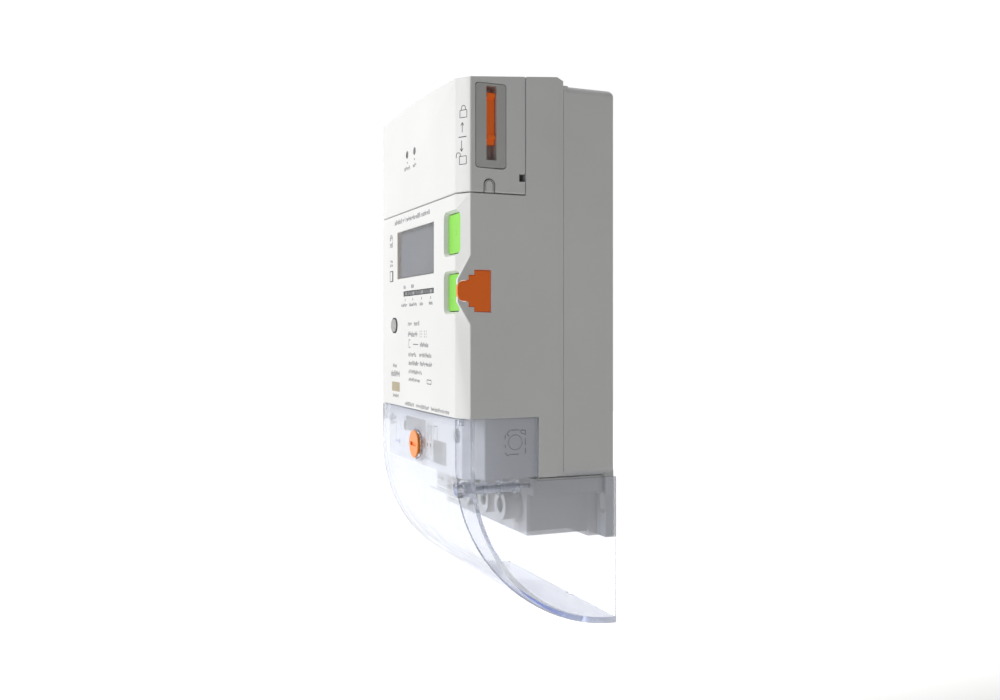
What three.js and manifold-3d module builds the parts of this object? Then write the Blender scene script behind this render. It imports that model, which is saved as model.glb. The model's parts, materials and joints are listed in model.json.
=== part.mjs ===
// Prepaid electricity meter for one phase, hung on a wall. Millimetres, +Z up.
// X runs left to right as seen from the front, the wall is the plane Y = 0, and the front faces -Y.
// The origin is the middle of the back of the case.
import * as THREE from 'three';
import { mergeVertices } from 'three/addons/utils/BufferGeometryUtils.js';
import Module from 'manifold-3d';

const wasm = await Module();
wasm.setup();

// ---------- driving dimensions ----------
const WIDTH = 130; // case, side to side
const DEPTH = 78.5; // wall to front face
const TOP = 89.5; // top corners of the front face, above the origin
const BOTTOM = -90; // underside of the case
const CHAMFER_X = 7.4; // upright front edges, width seen from the front
const CHAMFER_Y = 4.5; // upright front edges, width seen from the side
const TOP_RISE = 4.2; // the top climbs this much from the front to the flange
const CROWN = 2.4; // the top is this much higher in its middle
const WALL = 2.5; // moulded walls
const GAP = 0.3; // between pieces that touch
const SLIDE_GAP = 0.4; // round pieces that slide

// rear tub, screwed to the wall
const TUB_DEPTH = 27;
const TUB_INSET = 2; // the tub is this much narrower than the case on each side
const TUB_TOP = 91;
const TUB_BOTTOM = -91;
const TUB_CORNER = 4;
const FLANGE = 4; // depth of the slope that leads from the case in to the tub
const FLANGE_STEP = 1.6; // height of that slope
const TONGUE = 4; // how far the tub reaches into the case
const LUG_EDGE = 3; // side of the case to the outer edge of a fixing lug
const LUG_WIDTH = 9;
const LUG_THICK = 5;
const LUG_END = -120.5;
const LUG_SLOT = { fromEdge: 6, width: 4.6, low: -109.5, high: -99.5 };
const HANG_HOLE = { z: 60, radius: 4.6, slot: 2.4, rise: 9 };

// communication module at the top of the front
const SEAM = 38.3; // height of the joint under the module
const SEAM_GAP = 0.5;
const MODULE_DEPTH = 31.5; // front face to the floor of its bay

// lower front, behind the clear cover
const RECESS_TOP = -62.3;
const RECESS_FRONT = 5;
const RECESS_SIDE = 3;
const RECESS_BACK = 40.5; // distance of its rear end from the wall
const RECESS_CHAMFER = { x: 6.5, y: 7.3 };

// front face
const DISPLAY = { x0: -31, x1: 28, z0: 4.5, z1: 29 };
const LAMPS = { x0: -20, x1: 28.3, z0: -5, z1: -2.4 };
const PULSE = { x: -36, z: -20, width: 9.4, height: 6.6 };
const BUTTON = { fromEdge: 5.5, width: 15.7, corner: 2, sunk: 2, travel: 1.2, stem: 6 };
const BUTTON_UPPER = { z0: 12.2, z1: 30 };
const BUTTON_LOWER = { z0: -14, z1: 2.7 };
const POCKET_TAPER = 1; // the button pockets open out by this much
const FLANGE_LIP = 1.5; // retaining lips behind windows and buttons

// locking plug in the right side, its guard plate, and the slide lock of the module
// (y values count back from the front face)
const PLUG = { z: -5.3, block: 18.2, step: 13.8, nose: 9.1, back: 14, blockFront: 6.6,
  stepFront: 3.9, tip: -1.6, thick: 1.8, stub: 7, corner: 3.5 };
const GUARD = { z0: -20.5, z1: 10.6, nearNose: 0.6 };
const GUIDE = { y0: 7.1, y1: 21.5, z0: 49.9, z1: 87.4, corner: 1.5, depth: 8.5, thick: 1.3 };
const SLOT = { y0: 12.2, y1: 17, z0: 53.3, z1: 86.5 };
const LOCK = { z0: 60.5, z1: 83.8, thick: 4.6, sunk: 0.5 };
const SNAP = { y: 13.55, width: 5.7, top: 45.1, slit: 0.7 };
const PRY = { y0: 28.1, z0: 44.4, z1: 47.9 };

// terminals, counted from the right
const TERMINAL_PITCH = 21.4;
const TERMINAL_FIRST = 23.5; // right side of the case to the first terminal
const TERMINAL_Z = -105.3;
const TOWER = { radius: 7, length: 8.9, bore: 3.5, neck: 5.4, slot: 2.2 };
const BLOCK = { fromEdge: 12.3, front: -41.6, low: -118.6, back: -2.8 };
const LEDGE = { fromEdge: 5, low: -99, high: -91.3 };
const CLAMP = { width: 10, y0: -27.7, y1: -14.3, low: -116, high: -100.6, cable: 4 };
const BUSBAR = { width: 8, thick: 1.5, y: -21 };

// clear terminal cover
const COVER_WALL = 2.5;
const COVER_TOP = -62.7;
const COVER_BEND = -84; // the front bends back from here, as a quarter of an ellipse
const COVER_DROP = 76.5; // height of that quarter
const COVER_BEAD = { height: 3, thick: 1.6 };
const COVER_NOTCH = { x0: 14, x1: 18, depth: 1.6 };
const SEAL = { x: 1, z: -79.4, cup: 8.5, cupWall: 1, head: 7, proud: 1.5, stem: 2.1, cupGap: 0.7 };
// the screw sleeve (seat and collars count back from the front face)
const SLEEVE = { fromEdge: 10, z: -94.7, mouth: 3.6, counterbore: 2.6, radius: 2.4, bore: 1.4,
  collar: 3.5, collarLong: 1.6, collars: [13.2, 21.3], short: 6, seat: 9, headLong: 2.8 };

// boards and fasteners
const BOARD = { fromEdge: 11, z0: -80, z1: 33, behindFront: 18.5, thick: 1.6 };
const CASE_SCREW = { fromEdge: 15, upper: 80, lower: -71, shank: 1.7, head: 3.2, headLong: 2, pillar: 4 };
const TAMPER = { x: -27, z: -72.6, radius: 2.5, travel: 1.2 };

// behind the module (fronts and backs count from the floor of its bay)
const MODULE_BOARD = { fromEdge: 15, front: -19, z0: 45, z1: 84 };
const RADIO_CAN = { x0: 10, x1: 40, z0: 54, z1: 80, tall: 3.2 };
const LIGHT_PIPES = { xs: [-13.7, -1.5], z: 67.5, radius: 1.7, proud: -0.2 };
const SOCKET = { half: 16.5, z0: 49, z1: 59, front: -3.2, back: 6 };
const TONGUE_PLUG = { half: 13, z0: 52.6, z1: 55.4, end: 2 };

// inside the case
const SWITCH = { half: 3, long: 3.5, plunger: 0.8, radius: 1.7 };
const RELAY = { left: 13, right: 3.5, front: -24, z0: -68, z1: -38 };
const SHUNT = { half: 4, thick: 2, z0: -84, z1: -72 };
const NEUTRAL = { top: -76, tall: 7 };
const TRANSFORMER = { fromEdge: 13, width: 32, front: -27, z0: -52, z1: -24 };
const CAPACITOR = { x: -35, radius: 8, z0: -12, z1: 14 };
const BATTERY = { x0: -30, x1: -5, z: 22, radius: 7.25 };
const BUZZER = { x: 30, z: -20, radius: 6, tall: 8 };

// ---------- values that follow ----------
const HALF = WIDTH / 2;
const FRONT = -DEPTH;
const BAY = FRONT + MODULE_DEPTH; // floor of the module's bay
const FLANGE_FRONT = -TUB_DEPTH - FLANGE;
const SLOPE = TOP_RISE / (DEPTH - TUB_DEPTH - FLANGE);
const INNER_FRONT = FRONT + WALL;
const LOW_FRONT = FRONT + RECESS_FRONT;
const BOARD_BACK = FRONT + BOARD.behindFront;
const BOARD_FRONT = BOARD_BACK - BOARD.thick;
const CASE_SCREW_X = HALF - CASE_SCREW.fromEdge;
const BUTTON_X = HALF - BUTTON.fromEdge - BUTTON.width / 2;
const BUTTON_FACE = FRONT + BUTTON.sunk;
const SLEEVE_X = HALF - SLEEVE.fromEdge;
const SLEEVE_END = BLOCK.front - SLEEVE.short;
const CUP_END = LOW_FRONT - SEAL.cupGap;
const BLOCK_HALF = HALF - BLOCK.fromEdge;
const LEDGE_HALF = HALF - LEDGE.fromEdge;
const BOARD_HALF = HALF - BOARD.fromEdge;
const TERMINALS = [0, 1, 2, 3].map((i) => HALF - TERMINAL_FIRST - i * TERMINAL_PITCH);
const MODULE_BOARD_FRONT = BAY + MODULE_BOARD.front;
const MODULE_BOARD_BACK = MODULE_BOARD_FRONT + BOARD.thick;
const STEM_END = BOARD_FRONT - GAP - SWITCH.long - GAP - BUTTON.travel;
const BUSBAR_FRONT = BUSBAR.y - BUSBAR.thick / 2;
const BUSBAR_BACK = BUSBAR.y + BUSBAR.thick / 2;
const FAR = 400; // beyond every piece

const group = new THREE.Group();

// ---------- solids ----------
function solid(geometry) {
  const bare = geometry.index ? geometry.toNonIndexed() : geometry;
  bare.deleteAttribute('normal');
  bare.deleteAttribute('uv');
  const merged = mergeVertices(bare, 1e-4);
  return new wasm.Manifold(new wasm.Mesh({
    numProp: 3,
    vertProperties: new Float32Array(merged.attributes.position.array),
    triVerts: new Uint32Array(merged.index.array),
  }));
}

function box(x0, x1, y0, y1, z0, z1) {
  const geometry = new THREE.BoxGeometry(x1 - x0, y1 - y0, z1 - z0);
  geometry.translate((x0 + x1) / 2, (y0 + y1) / 2, (z0 + z1) / 2);
  return solid(geometry);
}

// where an outline's own x, y and its extrusion point in the object's frame
const FRAMES = {
  x: [[0, 1, 0], [0, 0, 1], [1, 0, 0]],
  y: [[1, 0, 0], [0, 0, 1], [0, -1, 0]],
  z: [[1, 0, 0], [0, 1, 0], [0, 0, 1]],
};

function extrude(shape, axis, from, to, options = {}) {
  const bevel = options.bevelThickness ?? 0;
  const settings = { depth: to - from - 2 * bevel, bevelEnabled: false, curveSegments: 4, ...options };
  const geometry = new THREE.ExtrudeGeometry(shape, settings);
  geometry.translate(0, 0, bevel);
  const turn = new THREE.Matrix4().makeBasis(...FRAMES[axis].map((v) => new THREE.Vector3(...v)));
  geometry.applyMatrix4(turn);
  const start = axis === 'y' ? to : from;
  geometry.translate(axis === 'x' ? start : 0, axis === 'y' ? start : 0, axis === 'z' ? start : 0);
  return solid(geometry);
}

// a round bar, a cone when the end radius differs, along one axis through the point [a, b]
function rod(axis, a, b, from, to, radius, endRadius = radius, segments = 20) {
  const geometry = new THREE.CylinderGeometry(endRadius, radius, to - from, segments);
  geometry.translate(0, (from + to) / 2, 0);
  if (axis === 'x') geometry.rotateZ(-Math.PI / 2).translate(0, a, b);
  if (axis === 'y') geometry.translate(a, 0, b);
  if (axis === 'z') geometry.rotateX(Math.PI / 2).translate(a, b, 0);
  return solid(geometry);
}

function polygon(points) {
  return new THREE.Shape(points.map(([a, b]) => new THREE.Vector2(a, b)));
}

function roundedRectangle(a0, a1, b0, b1, radius) {
  const shape = new THREE.Shape();
  shape.absarc(a1 - radius, b0 + radius, radius, -Math.PI / 2, 0);
  shape.absarc(a1 - radius, b1 - radius, radius, 0, Math.PI / 2);
  shape.absarc(a0 + radius, b1 - radius, radius, Math.PI / 2, Math.PI);
  shape.absarc(a0 + radius, b0 + radius, radius, Math.PI, Math.PI * 1.5);
  return shape;
}

function addPiece(name, body, color, roughness = 0.5, metalness = 0) {
  const mesh = body.getMesh();
  const geometry = new THREE.BufferGeometry();
  geometry.setAttribute('position', new THREE.BufferAttribute(mesh.vertProperties, 3));
  geometry.setIndex(new THREE.BufferAttribute(mesh.triVerts, 1));
  const piece = new THREE.Mesh(geometry, new THREE.MeshStandardMaterial({ color, roughness, metalness }));
  piece.name = name;
  group.add(piece);
}

// ---------- the form of the case ----------
// Plan outline with chamfered front corners, all faces moved inwards by inset.
function plan(front, half, chamferX, chamferY, inset, back) {
  const length = Math.hypot(chamferX, chamferY);
  const nx = chamferY / length;
  const ny = -chamferX / length;
  const reach = nx * half + ny * (front + chamferY) - inset;
  const cornerX = (reach - ny * (front + inset)) / nx;
  const cornerY = (reach - nx * (half - inset)) / ny;
  const right = [[cornerX, front + inset], [half - inset, cornerY], [half - inset, back]];
  const left = right.map(([x, y]) => [-x, y]).reverse();
  return [...right, ...left];
}

// Block under the crowned top, which climbs towards the back.
function crownBlock(inset, back, step) {
  const half = HALF - inset;
  const radius = (HALF * HALF + CROWN * CROWN) / (2 * CROWN);
  const crownZ = TOP + CROWN - inset;
  const arc = Math.asin(half / radius);
  const outline = new THREE.Shape();
  outline.moveTo(-half, -FAR);
  outline.lineTo(half, -FAR);
  outline.absarc(0, crownZ - radius, radius, Math.PI / 2 - arc, Math.PI / 2 + arc);
  const front = FRONT - FAR / 4;
  const rim = step ? { bevelEnabled: true, bevelThickness: FLANGE, bevelSize: step,
    bevelOffset: -step, bevelSegments: 1 } : {};
  const geometry = new THREE.ExtrudeGeometry(outline, {
    depth: back - front - 2 * (rim.bevelThickness ?? 0), bevelEnabled: false, curveSegments: 12, ...rim });
  geometry.translate(0, 0, rim.bevelThickness ?? 0);
  geometry.applyMatrix4(new THREE.Matrix4().makeBasis(...FRAMES.y.map((v) => new THREE.Vector3(...v))));
  geometry.translate(0, back, 0);
  geometry.applyMatrix4(new THREE.Matrix4().makeShear(0, 0, 0, SLOPE, 0, 0));
  geometry.translate(0, 0, SLOPE * DEPTH);
  return solid(geometry);
}

function caseBlock(inset, back, step = 0) {
  const outline = polygon(plan(FRONT, HALF, CHAMFER_X, CHAMFER_Y, inset, 0));
  return extrude(outline, 'z', BOTTOM + inset, FAR).intersect(crownBlock(inset, back, step));
}

// The lower front, set back behind the clear cover; its sides step out again at its rear.
function lowerBlock(inset, top) {
  const outline = polygon(plan(LOW_FRONT, HALF - RECESS_SIDE, RECESS_CHAMFER.x, RECESS_CHAMFER.y, inset, 0));
  const core = extrude(outline, 'z', BOTTOM + inset, top);
  const rear = box(-HALF + inset, HALF - inset, -RECESS_BACK + inset, 0, BOTTOM + inset, top);
  return core.add(rear);
}

// ---------- case ----------
function makeTub() {
  const side = HALF - TUB_INSET;
  const outline = roundedRectangle(-side, side, TUB_BOTTOM, TUB_TOP, TUB_CORNER);
  const rim = { bevelEnabled: true, bevelThickness: 2, bevelSize: 2, bevelOffset: -2, bevelSegments: 2 };
  let tub = extrude(outline, 'y', -TUB_DEPTH - 10, 0, rim).subtract(
    box(-FAR, FAR, -FAR, -TUB_DEPTH, -FAR, FAR));
  tub = tub.subtract(box(-side + WALL, side - WALL, -FAR, -WALL, TUB_BOTTOM + WALL, TUB_TOP - WALL));
  const outer = HALF - WALL - GAP;
  const inner = side - WALL - GAP;
  const tongueTop = TUB_TOP - GAP / 2;
  const tongue = box(-outer, outer, -TUB_DEPTH - TONGUE, -TUB_DEPTH + WALL, BOTTOM + 10, tongueTop).subtract(
    box(-inner, inner, -FAR, FAR, -FAR, TUB_TOP - WALL));
  tub = tub.add(tongue);
  for (const x of [-CASE_SCREW_X, CASE_SCREW_X]) {
    for (const z of [CASE_SCREW.upper, CASE_SCREW.lower]) {
      const end = BAY + WALL + GAP;
      tub = tub.add(rod('y', x, z, end, -WALL / 2, CASE_SCREW.pillar));
      tub = tub.subtract(rod('y', x, z, end - 1, end + 22, CASE_SCREW.shank + GAP, undefined, 12));
    }
  }
  for (const sign of [-1, 1]) {
    const outer = sign * (HALF - LUG_EDGE);
    const [x0, x1] = [outer, outer - sign * LUG_WIDTH].sort((a, b) => a - b);
    const slotX = sign * (HALF - LUG_SLOT.fromEdge);
    const slot = roundedRectangle(slotX - LUG_SLOT.width / 2, slotX + LUG_SLOT.width / 2,
      LUG_SLOT.low, LUG_SLOT.high, LUG_SLOT.width / 2 - 0.01);
    tub = tub.add(box(x0, x1, -LUG_THICK, 0, LUG_END, TUB_BOTTOM + WALL));
    tub = tub.subtract(extrude(slot, 'y', -LUG_THICK - 1, 1, { curveSegments: 4 }));
  }
  for (const x of TERMINALS) {
    tub = tub.subtract(box(x - BUSBAR.width / 2 - GAP, x + BUSBAR.width / 2 + GAP,
      BUSBAR_FRONT - GAP, BUSBAR_BACK + GAP, TUB_BOTTOM - 1, TUB_BOTTOM + WALL + 1));
  }
  tub = tub.subtract(rod('y', 0, HANG_HOLE.z, -WALL - 1, 1, HANG_HOLE.radius));
  return tub.subtract(box(-HANG_HOLE.slot, HANG_HOLE.slot, -WALL - 1, 1, HANG_HOLE.z,
    HANG_HOLE.z + HANG_HOLE.rise));
}

function buttonOutline({ z0, z1 }, grow) {
  const x0 = BUTTON_X - BUTTON.width / 2 - grow;
  const x1 = BUTTON_X + BUTTON.width / 2 + grow;
  return roundedRectangle(x0, x1, z0 - grow, z1 + grow, BUTTON.corner + grow / 2);
}

function buttonPocket(button) {
  const through = extrude(buttonOutline(button, SLIDE_GAP), 'y', FRONT - 1, FRONT + CHAMFER_Y + WALL * 2);
  const taper = extrude(buttonOutline(button, SLIDE_GAP), 'y', FRONT - 4, BUTTON_FACE, {
    bevelEnabled: true, bevelThickness: BUTTON.sunk, bevelSize: POCKET_TAPER, bevelSegments: 1 });
  return through.add(taper);
}

function plugOutline(grow) {
  const { z, block, step, nose, corner } = PLUG;
  const [back, blockFront, stepFront, tip] = [PLUG.back, PLUG.blockFront, PLUG.stepFront, PLUG.tip].map(
    (y) => FRONT + y);
  const shape = new THREE.Shape();
  shape.moveTo(back + grow, z - block / 2 - grow);
  shape.lineTo(back + grow, z + block / 2 + grow);
  shape.lineTo(blockFront - grow, z + block / 2 + grow);
  shape.lineTo(blockFront - grow, z + step / 2 + grow);
  shape.lineTo(stepFront - grow, z + step / 2 + grow);
  shape.lineTo(stepFront - grow, z + nose / 2 + grow);
  shape.absarc(tip - grow + corner, z + nose / 2 + grow - corner, corner, Math.PI / 2, Math.PI);
  shape.absarc(tip - grow + corner, z - nose / 2 - grow + corner, corner, Math.PI, Math.PI * 1.5);
  shape.lineTo(stepFront - grow, z - nose / 2 - grow);
  shape.lineTo(stepFront - grow, z - step / 2 - grow);
  shape.lineTo(blockFront - grow, z - step / 2 - grow);
  shape.lineTo(blockFront - grow, z - block / 2 - grow);
  return shape;
}

// The side wall runs forward past the chamfer as a thin plate on both sides of the plug's nose.
function guardPlate() {
  const sideFront = FRONT + CHAMFER_Y;
  const high = PLUG.z + PLUG.nose / 2 + GUARD.nearNose;
  const low = PLUG.z - PLUG.nose / 2 - GUARD.nearNose;
  const outline = polygon([[sideFront + 2, GUARD.z0], [sideFront, GUARD.z0], [FRONT + PLUG.tip, low],
    [FRONT + PLUG.tip, high], [sideFront, GUARD.z1], [sideFront + 2, GUARD.z1]]);
  return extrude(outline, 'x', HALF - PLUG.thick, HALF);
}

function boardPosts() {
  const left = -BOARD_HALF + 4;
  const besideDisplay = (DISPLAY.x1 + BUTTON_X - BUTTON.width / 2) / 2 + POCKET_TAPER;
  return [[left, 26], [besideDisplay, 26], [left, -50], [BOARD_HALF - 8, -50]].map(([x, z]) => ({ x, z }));
}

function stadium(grow) {
  const halfWidth = PULSE.width / 2 + grow;
  const halfHeight = PULSE.height / 2 + grow;
  return roundedRectangle(PULSE.x - halfWidth, PULSE.x + halfWidth, PULSE.z - halfHeight,
    PULSE.z + halfHeight, halfHeight - 0.01);
}

function makeFrontCover() {
  const back = -TUB_DEPTH - GAP;
  let cover = caseBlock(0, back, FLANGE_STEP);
  const recess = box(-FAR, FAR, -FAR, FAR, -FAR, RECESS_TOP);
  cover = cover.subtract(recess.subtract(lowerBlock(0, RECESS_TOP + 1)));
  const cavity = caseBlock(WALL, FAR / 8);
  const behindBay = box(-FAR, FAR, BAY + WALL, FAR, RECESS_TOP + WALL, FAR);
  const underBay = box(-FAR, FAR, -FAR, FAR, RECESS_TOP + WALL, SEAM - WALL);
  cover = cover.subtract(cavity.intersect(behindBay.add(underBay)));
  cover = cover.subtract(lowerBlock(WALL, RECESS_TOP + WALL + 1));
  const seat = caseBlock(WALL / 2, FAR / 8).intersect(box(-FAR, FAR, FLANGE_FRONT - 3.8, FLANGE_FRONT - 2.3,
    BOTTOM + WALL - 1, FAR));
  cover = cover.add(seat.subtract(box(-HALF + WALL + 2, HALF - WALL - 2, -FAR, FAR, BOTTOM + WALL + 2,
    TUB_TOP - WALL)));
  cover = cover.subtract(box(-FAR, FAR, -FAR, BAY, SEAM, FAR));
  cover = cover.subtract(box(DISPLAY.x0, DISPLAY.x1, FRONT - 1, INNER_FRONT + 1, DISPLAY.z0, DISPLAY.z1));
  cover = cover.subtract(box(LAMPS.x0, LAMPS.x1, FRONT - 1, INNER_FRONT + 1, LAMPS.z0, LAMPS.z1));
  cover = cover.subtract(extrude(stadium(GAP), 'y', FRONT - 1, INNER_FRONT + 1));
  for (const button of [BUTTON_UPPER, BUTTON_LOWER]) {
    cover = cover.subtract(buttonPocket(button));
  }
  const padFront = FRONT + PLUG.blockFront + 1.2;
  cover = cover.add(guardPlate());
  cover = cover.add(box(HALF - WALL - 2, HALF - WALL + 0.5, padFront, FRONT + PLUG.back + 2,
    PLUG.z - PLUG.block / 2 - 2, PLUG.z + PLUG.block / 2 + 2));
  cover = cover.subtract(extrude(plugOutline(GAP), 'x', HALF - PLUG.thick - GAP, HALF + 1));
  cover = cover.subtract(plugStub(SLIDE_GAP));
  for (const { x, z } of boardPosts()) {
    cover = cover.add(rod('y', x, z, INNER_FRONT - 1, BOARD_FRONT - GAP, 2.6, undefined, 16));
    cover = cover.subtract(rod('y', x, z, BOARD_FRONT - 8, BOARD_FRONT, 1.3, undefined, 10));
  }
  for (const x of [-CASE_SCREW_X, CASE_SCREW_X]) {
    const sleeve = rod('y', x, CASE_SCREW.lower, LOW_FRONT + 1, BAY + WALL, CASE_SCREW.pillar);
    cover = cover.add(sleeve);
    cover = cover.subtract(rod('y', x, CASE_SCREW.lower, -FAR, 0, CASE_SCREW.shank + GAP, undefined, 12));
    cover = cover.subtract(rod('y', x, CASE_SCREW.lower, -FAR, LOW_FRONT + CASE_SCREW.headLong + GAP,
      CASE_SCREW.head + GAP, undefined, 16));
    cover = cover.subtract(rod('y', x, CASE_SCREW.upper, -FAR, 0, CASE_SCREW.shank + GAP, undefined, 12));
  }
  cover = cover.subtract(rod('y', TAMPER.x, TAMPER.z, -FAR, LOW_FRONT + WALL + 1, TAMPER.radius + GAP));
  cover = cover.subtract(rod('y', SEAL.x, SEAL.z, -FAR, LOW_FRONT + WALL + 1, SEAL.stem + SLIDE_GAP));
  cover = cover.subtract(box(-SOCKET.half - GAP, SOCKET.half + GAP, BAY - 1, BAY + WALL + 1,
    SOCKET.z0 - GAP, SOCKET.z1 + GAP));
  return cover;
}

function makeGasket() {
  const outer = HALF - WALL - GAP;
  const inner = outer - 1.6;
  const y0 = FLANGE_FRONT - 2;
  const y1 = FLANGE_FRONT - GAP;
  return box(-outer, outer, y0, y1, BOTTOM + WALL + GAP, TUB_TOP - GAP).subtract(
    box(-inner, inner, -FAR, FAR, BOTTOM + WALL + 2, TUB_TOP - WALL + GAP));
}

// ---------- communication module ----------
function archOutline(grow) {
  const radius = SNAP.width / 2 + grow;
  const shape = new THREE.Shape();
  const y = FRONT + SNAP.y;
  shape.moveTo(y - radius, SEAM);
  shape.lineTo(y + radius, SEAM);
  shape.absarc(y, SNAP.top - SNAP.width / 2, radius, 0, Math.PI);
  return shape;
}

function makeModuleCover() {
  const back = BAY - GAP;
  const low = SEAM + SEAM_GAP;
  let cover = caseBlock(0, FAR / 8).intersect(box(-FAR, FAR, -FAR, back, low, FAR));
  cover = cover.subtract(caseBlock(WALL, FAR / 8).intersect(box(-FAR, FAR, -FAR, FAR, low + WALL, FAR)));
  const guide = roundedRectangle(FRONT + GUIDE.y0 - GAP, FRONT + GUIDE.y1 + GAP, GUIDE.z0 - GAP,
    GUIDE.z1 + GAP, GUIDE.corner);
  cover = cover.subtract(extrude(guide, 'x', HALF - WALL - 1, HALF + 1));
  const slit = extrude(archOutline(0), 'x', HALF - WALL, HALF + 1).subtract(
    extrude(archOutline(-SNAP.slit), 'x', HALF - WALL - 1, HALF + 2));
  cover = cover.subtract(slit);
  cover = cover.subtract(box(HALF - WALL - 1, HALF + 1, FRONT + PRY.y0, back + 1, PRY.z0, PRY.z1));
  for (const x of LIGHT_PIPES.xs) {
    cover = cover.subtract(rod('y', x, LIGHT_PIPES.z, FRONT - 1, INNER_FRONT + 1, LIGHT_PIPES.radius + GAP));
  }
  return cover;
}

function makeLockGuide() {
  const outline = roundedRectangle(FRONT + GUIDE.y0, FRONT + GUIDE.y1, GUIDE.z0, GUIDE.z1, GUIDE.corner);
  const face = extrude(outline, 'x', HALF - GUIDE.thick - 0.7, HALF);
  const tray = box(HALF - GUIDE.depth, HALF - GUIDE.thick, FRONT + SLOT.y0 - GUIDE.thick,
    FRONT + SLOT.y1 + GUIDE.thick, SLOT.z0 - GUIDE.thick, GUIDE.z1);
  const pocket = box(HALF - GUIDE.depth + GUIDE.thick, HALF + 1, FRONT + SLOT.y0, FRONT + SLOT.y1,
    SLOT.z0, SLOT.z1);
  return face.add(tray).subtract(pocket);
}

function makeLockSlider() {
  const y0 = FRONT + SLOT.y0 + SLIDE_GAP;
  const y1 = FRONT + SLOT.y1 - SLIDE_GAP;
  const outer = HALF - LOCK.sunk;
  let slider = box(outer - LOCK.thick, outer - 1.2, y0, y1, LOCK.z0, LOCK.z1);
  for (const z of [LOCK.z1 - 2.4, LOCK.z0 + 2.2]) {
    slider = slider.add(box(outer - 1.3, outer, y0, y1, z, z + 1.8));
  }
  return slider;
}

function makeModuleBoard() {
  const half = HALF - MODULE_BOARD.fromEdge;
  return box(-half, half, MODULE_BOARD_FRONT, MODULE_BOARD_BACK, MODULE_BOARD.z0, MODULE_BOARD.z1);
}

function makeHeader() {
  const end = BAY + SOCKET.front - GAP;
  const half = (SOCKET.half + TONGUE_PLUG.half) / 2;
  const body = box(-half, half, MODULE_BOARD_BACK + GAP, end, SOCKET.z0 + 1, SOCKET.z1 - 1);
  return body.add(box(-TONGUE_PLUG.half, TONGUE_PLUG.half, end - 1, BAY + TONGUE_PLUG.end,
    TONGUE_PLUG.z0, TONGUE_PLUG.z1));
}

function makeSocket() {
  const half = TONGUE_PLUG.half + SLIDE_GAP;
  const slot = box(-half, half, BAY + SOCKET.front - 1, BAY + TONGUE_PLUG.end + 1,
    TONGUE_PLUG.z0 - SLIDE_GAP, TONGUE_PLUG.z1 + SLIDE_GAP);
  return box(-SOCKET.half, SOCKET.half, BAY + SOCKET.front, BAY + SOCKET.back, SOCKET.z0, SOCKET.z1)
    .subtract(slot);
}

// ---------- front face pieces ----------
function makeWindow({ x0, x1, z0, z1 }, sunk) {
  const pane = box(x0 + GAP, x1 - GAP, FRONT + sunk, INNER_FRONT + GAP + 0.1, z0 + GAP, z1 - GAP);
  return pane.add(box(x0 - FLANGE_LIP, x1 + FLANGE_LIP, INNER_FRONT + GAP, INNER_FRONT + GAP + 1.2,
    z0 - FLANGE_LIP, z1 + FLANGE_LIP));
}

function makeDisplayFrame() {
  const { x0, x1, z0, z1 } = DISPLAY;
  const front = INNER_FRONT + 1.2 + 2 * GAP;
  const outer = box(x0 - FLANGE_LIP, x1 + FLANGE_LIP, front, BOARD_FRONT - GAP, z0 - FLANGE_LIP,
    z1 + FLANGE_LIP);
  return outer.subtract(box(x0, x1, front - 1, BOARD_FRONT - 3, z0, z1)).subtract(
    box(x0 + 6, x1 - 6, front - 1, BOARD_FRONT + 1, z0 + 6, z1 - 6));
}

function makeDisplayPanel() {
  const { x0, x1, z0, z1 } = DISPLAY;
  const front = INNER_FRONT + 1.2 + 2 * GAP;
  return box(x0 + GAP, x1 - GAP, front, front + 2.8, z0 + GAP, z1 - GAP);
}

function makePulseLens() {
  const lens = extrude(stadium(0), 'y', FRONT - 0.6, INNER_FRONT + GAP + 0.1);
  return lens.add(extrude(stadium(FLANGE_LIP), 'y', INNER_FRONT + GAP, INNER_FRONT + GAP + 1.2));
}

// The lip stays behind the inside of the chamfered corner.
function buttonLipFront() {
  const edge = BUTTON_X + BUTTON.width / 2 + FLANGE_LIP;
  const chamferStart = HALF - CHAMFER_X;
  const slant = Math.hypot(CHAMFER_X, CHAMFER_Y) / CHAMFER_X;
  const lean = Math.max(0, edge - chamferStart) * CHAMFER_Y / CHAMFER_X;
  return FRONT + lean + WALL * slant + GAP;
}

function makeButton(button) {
  const lip = buttonLipFront();
  const middle = (button.z0 + button.z1) / 2;
  const cap = extrude(buttonOutline(button, 0), 'y', BUTTON_FACE, lip + 1);
  const flange = extrude(buttonOutline(button, FLANGE_LIP), 'y', lip, lip + 1.2);
  const stem = box(BUTTON_X - BUTTON.stem / 2, BUTTON_X + BUTTON.stem / 2, lip, STEM_END,
    middle - BUTTON.stem / 2, middle + BUTTON.stem / 2);
  return cap.add(flange).add(stem);
}

function makeSwitch(button) {
  const middle = (button.z0 + button.z1) / 2;
  const back = BOARD_FRONT - GAP;
  const body = box(BUTTON_X - SWITCH.half, BUTTON_X + SWITCH.half, back - SWITCH.long + SWITCH.plunger, back,
    middle - SWITCH.half, middle + SWITCH.half);
  return body.add(rod('y', BUTTON_X, middle, back - SWITCH.long, back - 1, SWITCH.radius, undefined, 16));
}

function plugStub(grow) {
  const middle = FRONT + (PLUG.back + PLUG.blockFront) / 2;
  return box(HALF - PLUG.stub, HALF - PLUG.thick / 2, middle - 2.4 - grow, middle + 2.4 + grow,
    PLUG.z - 4.5 - grow, PLUG.z + 4.5 + grow);
}

function makePlug() {
  return extrude(plugOutline(0), 'x', HALF - PLUG.thick, HALF).add(plugStub(0));
}

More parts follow.
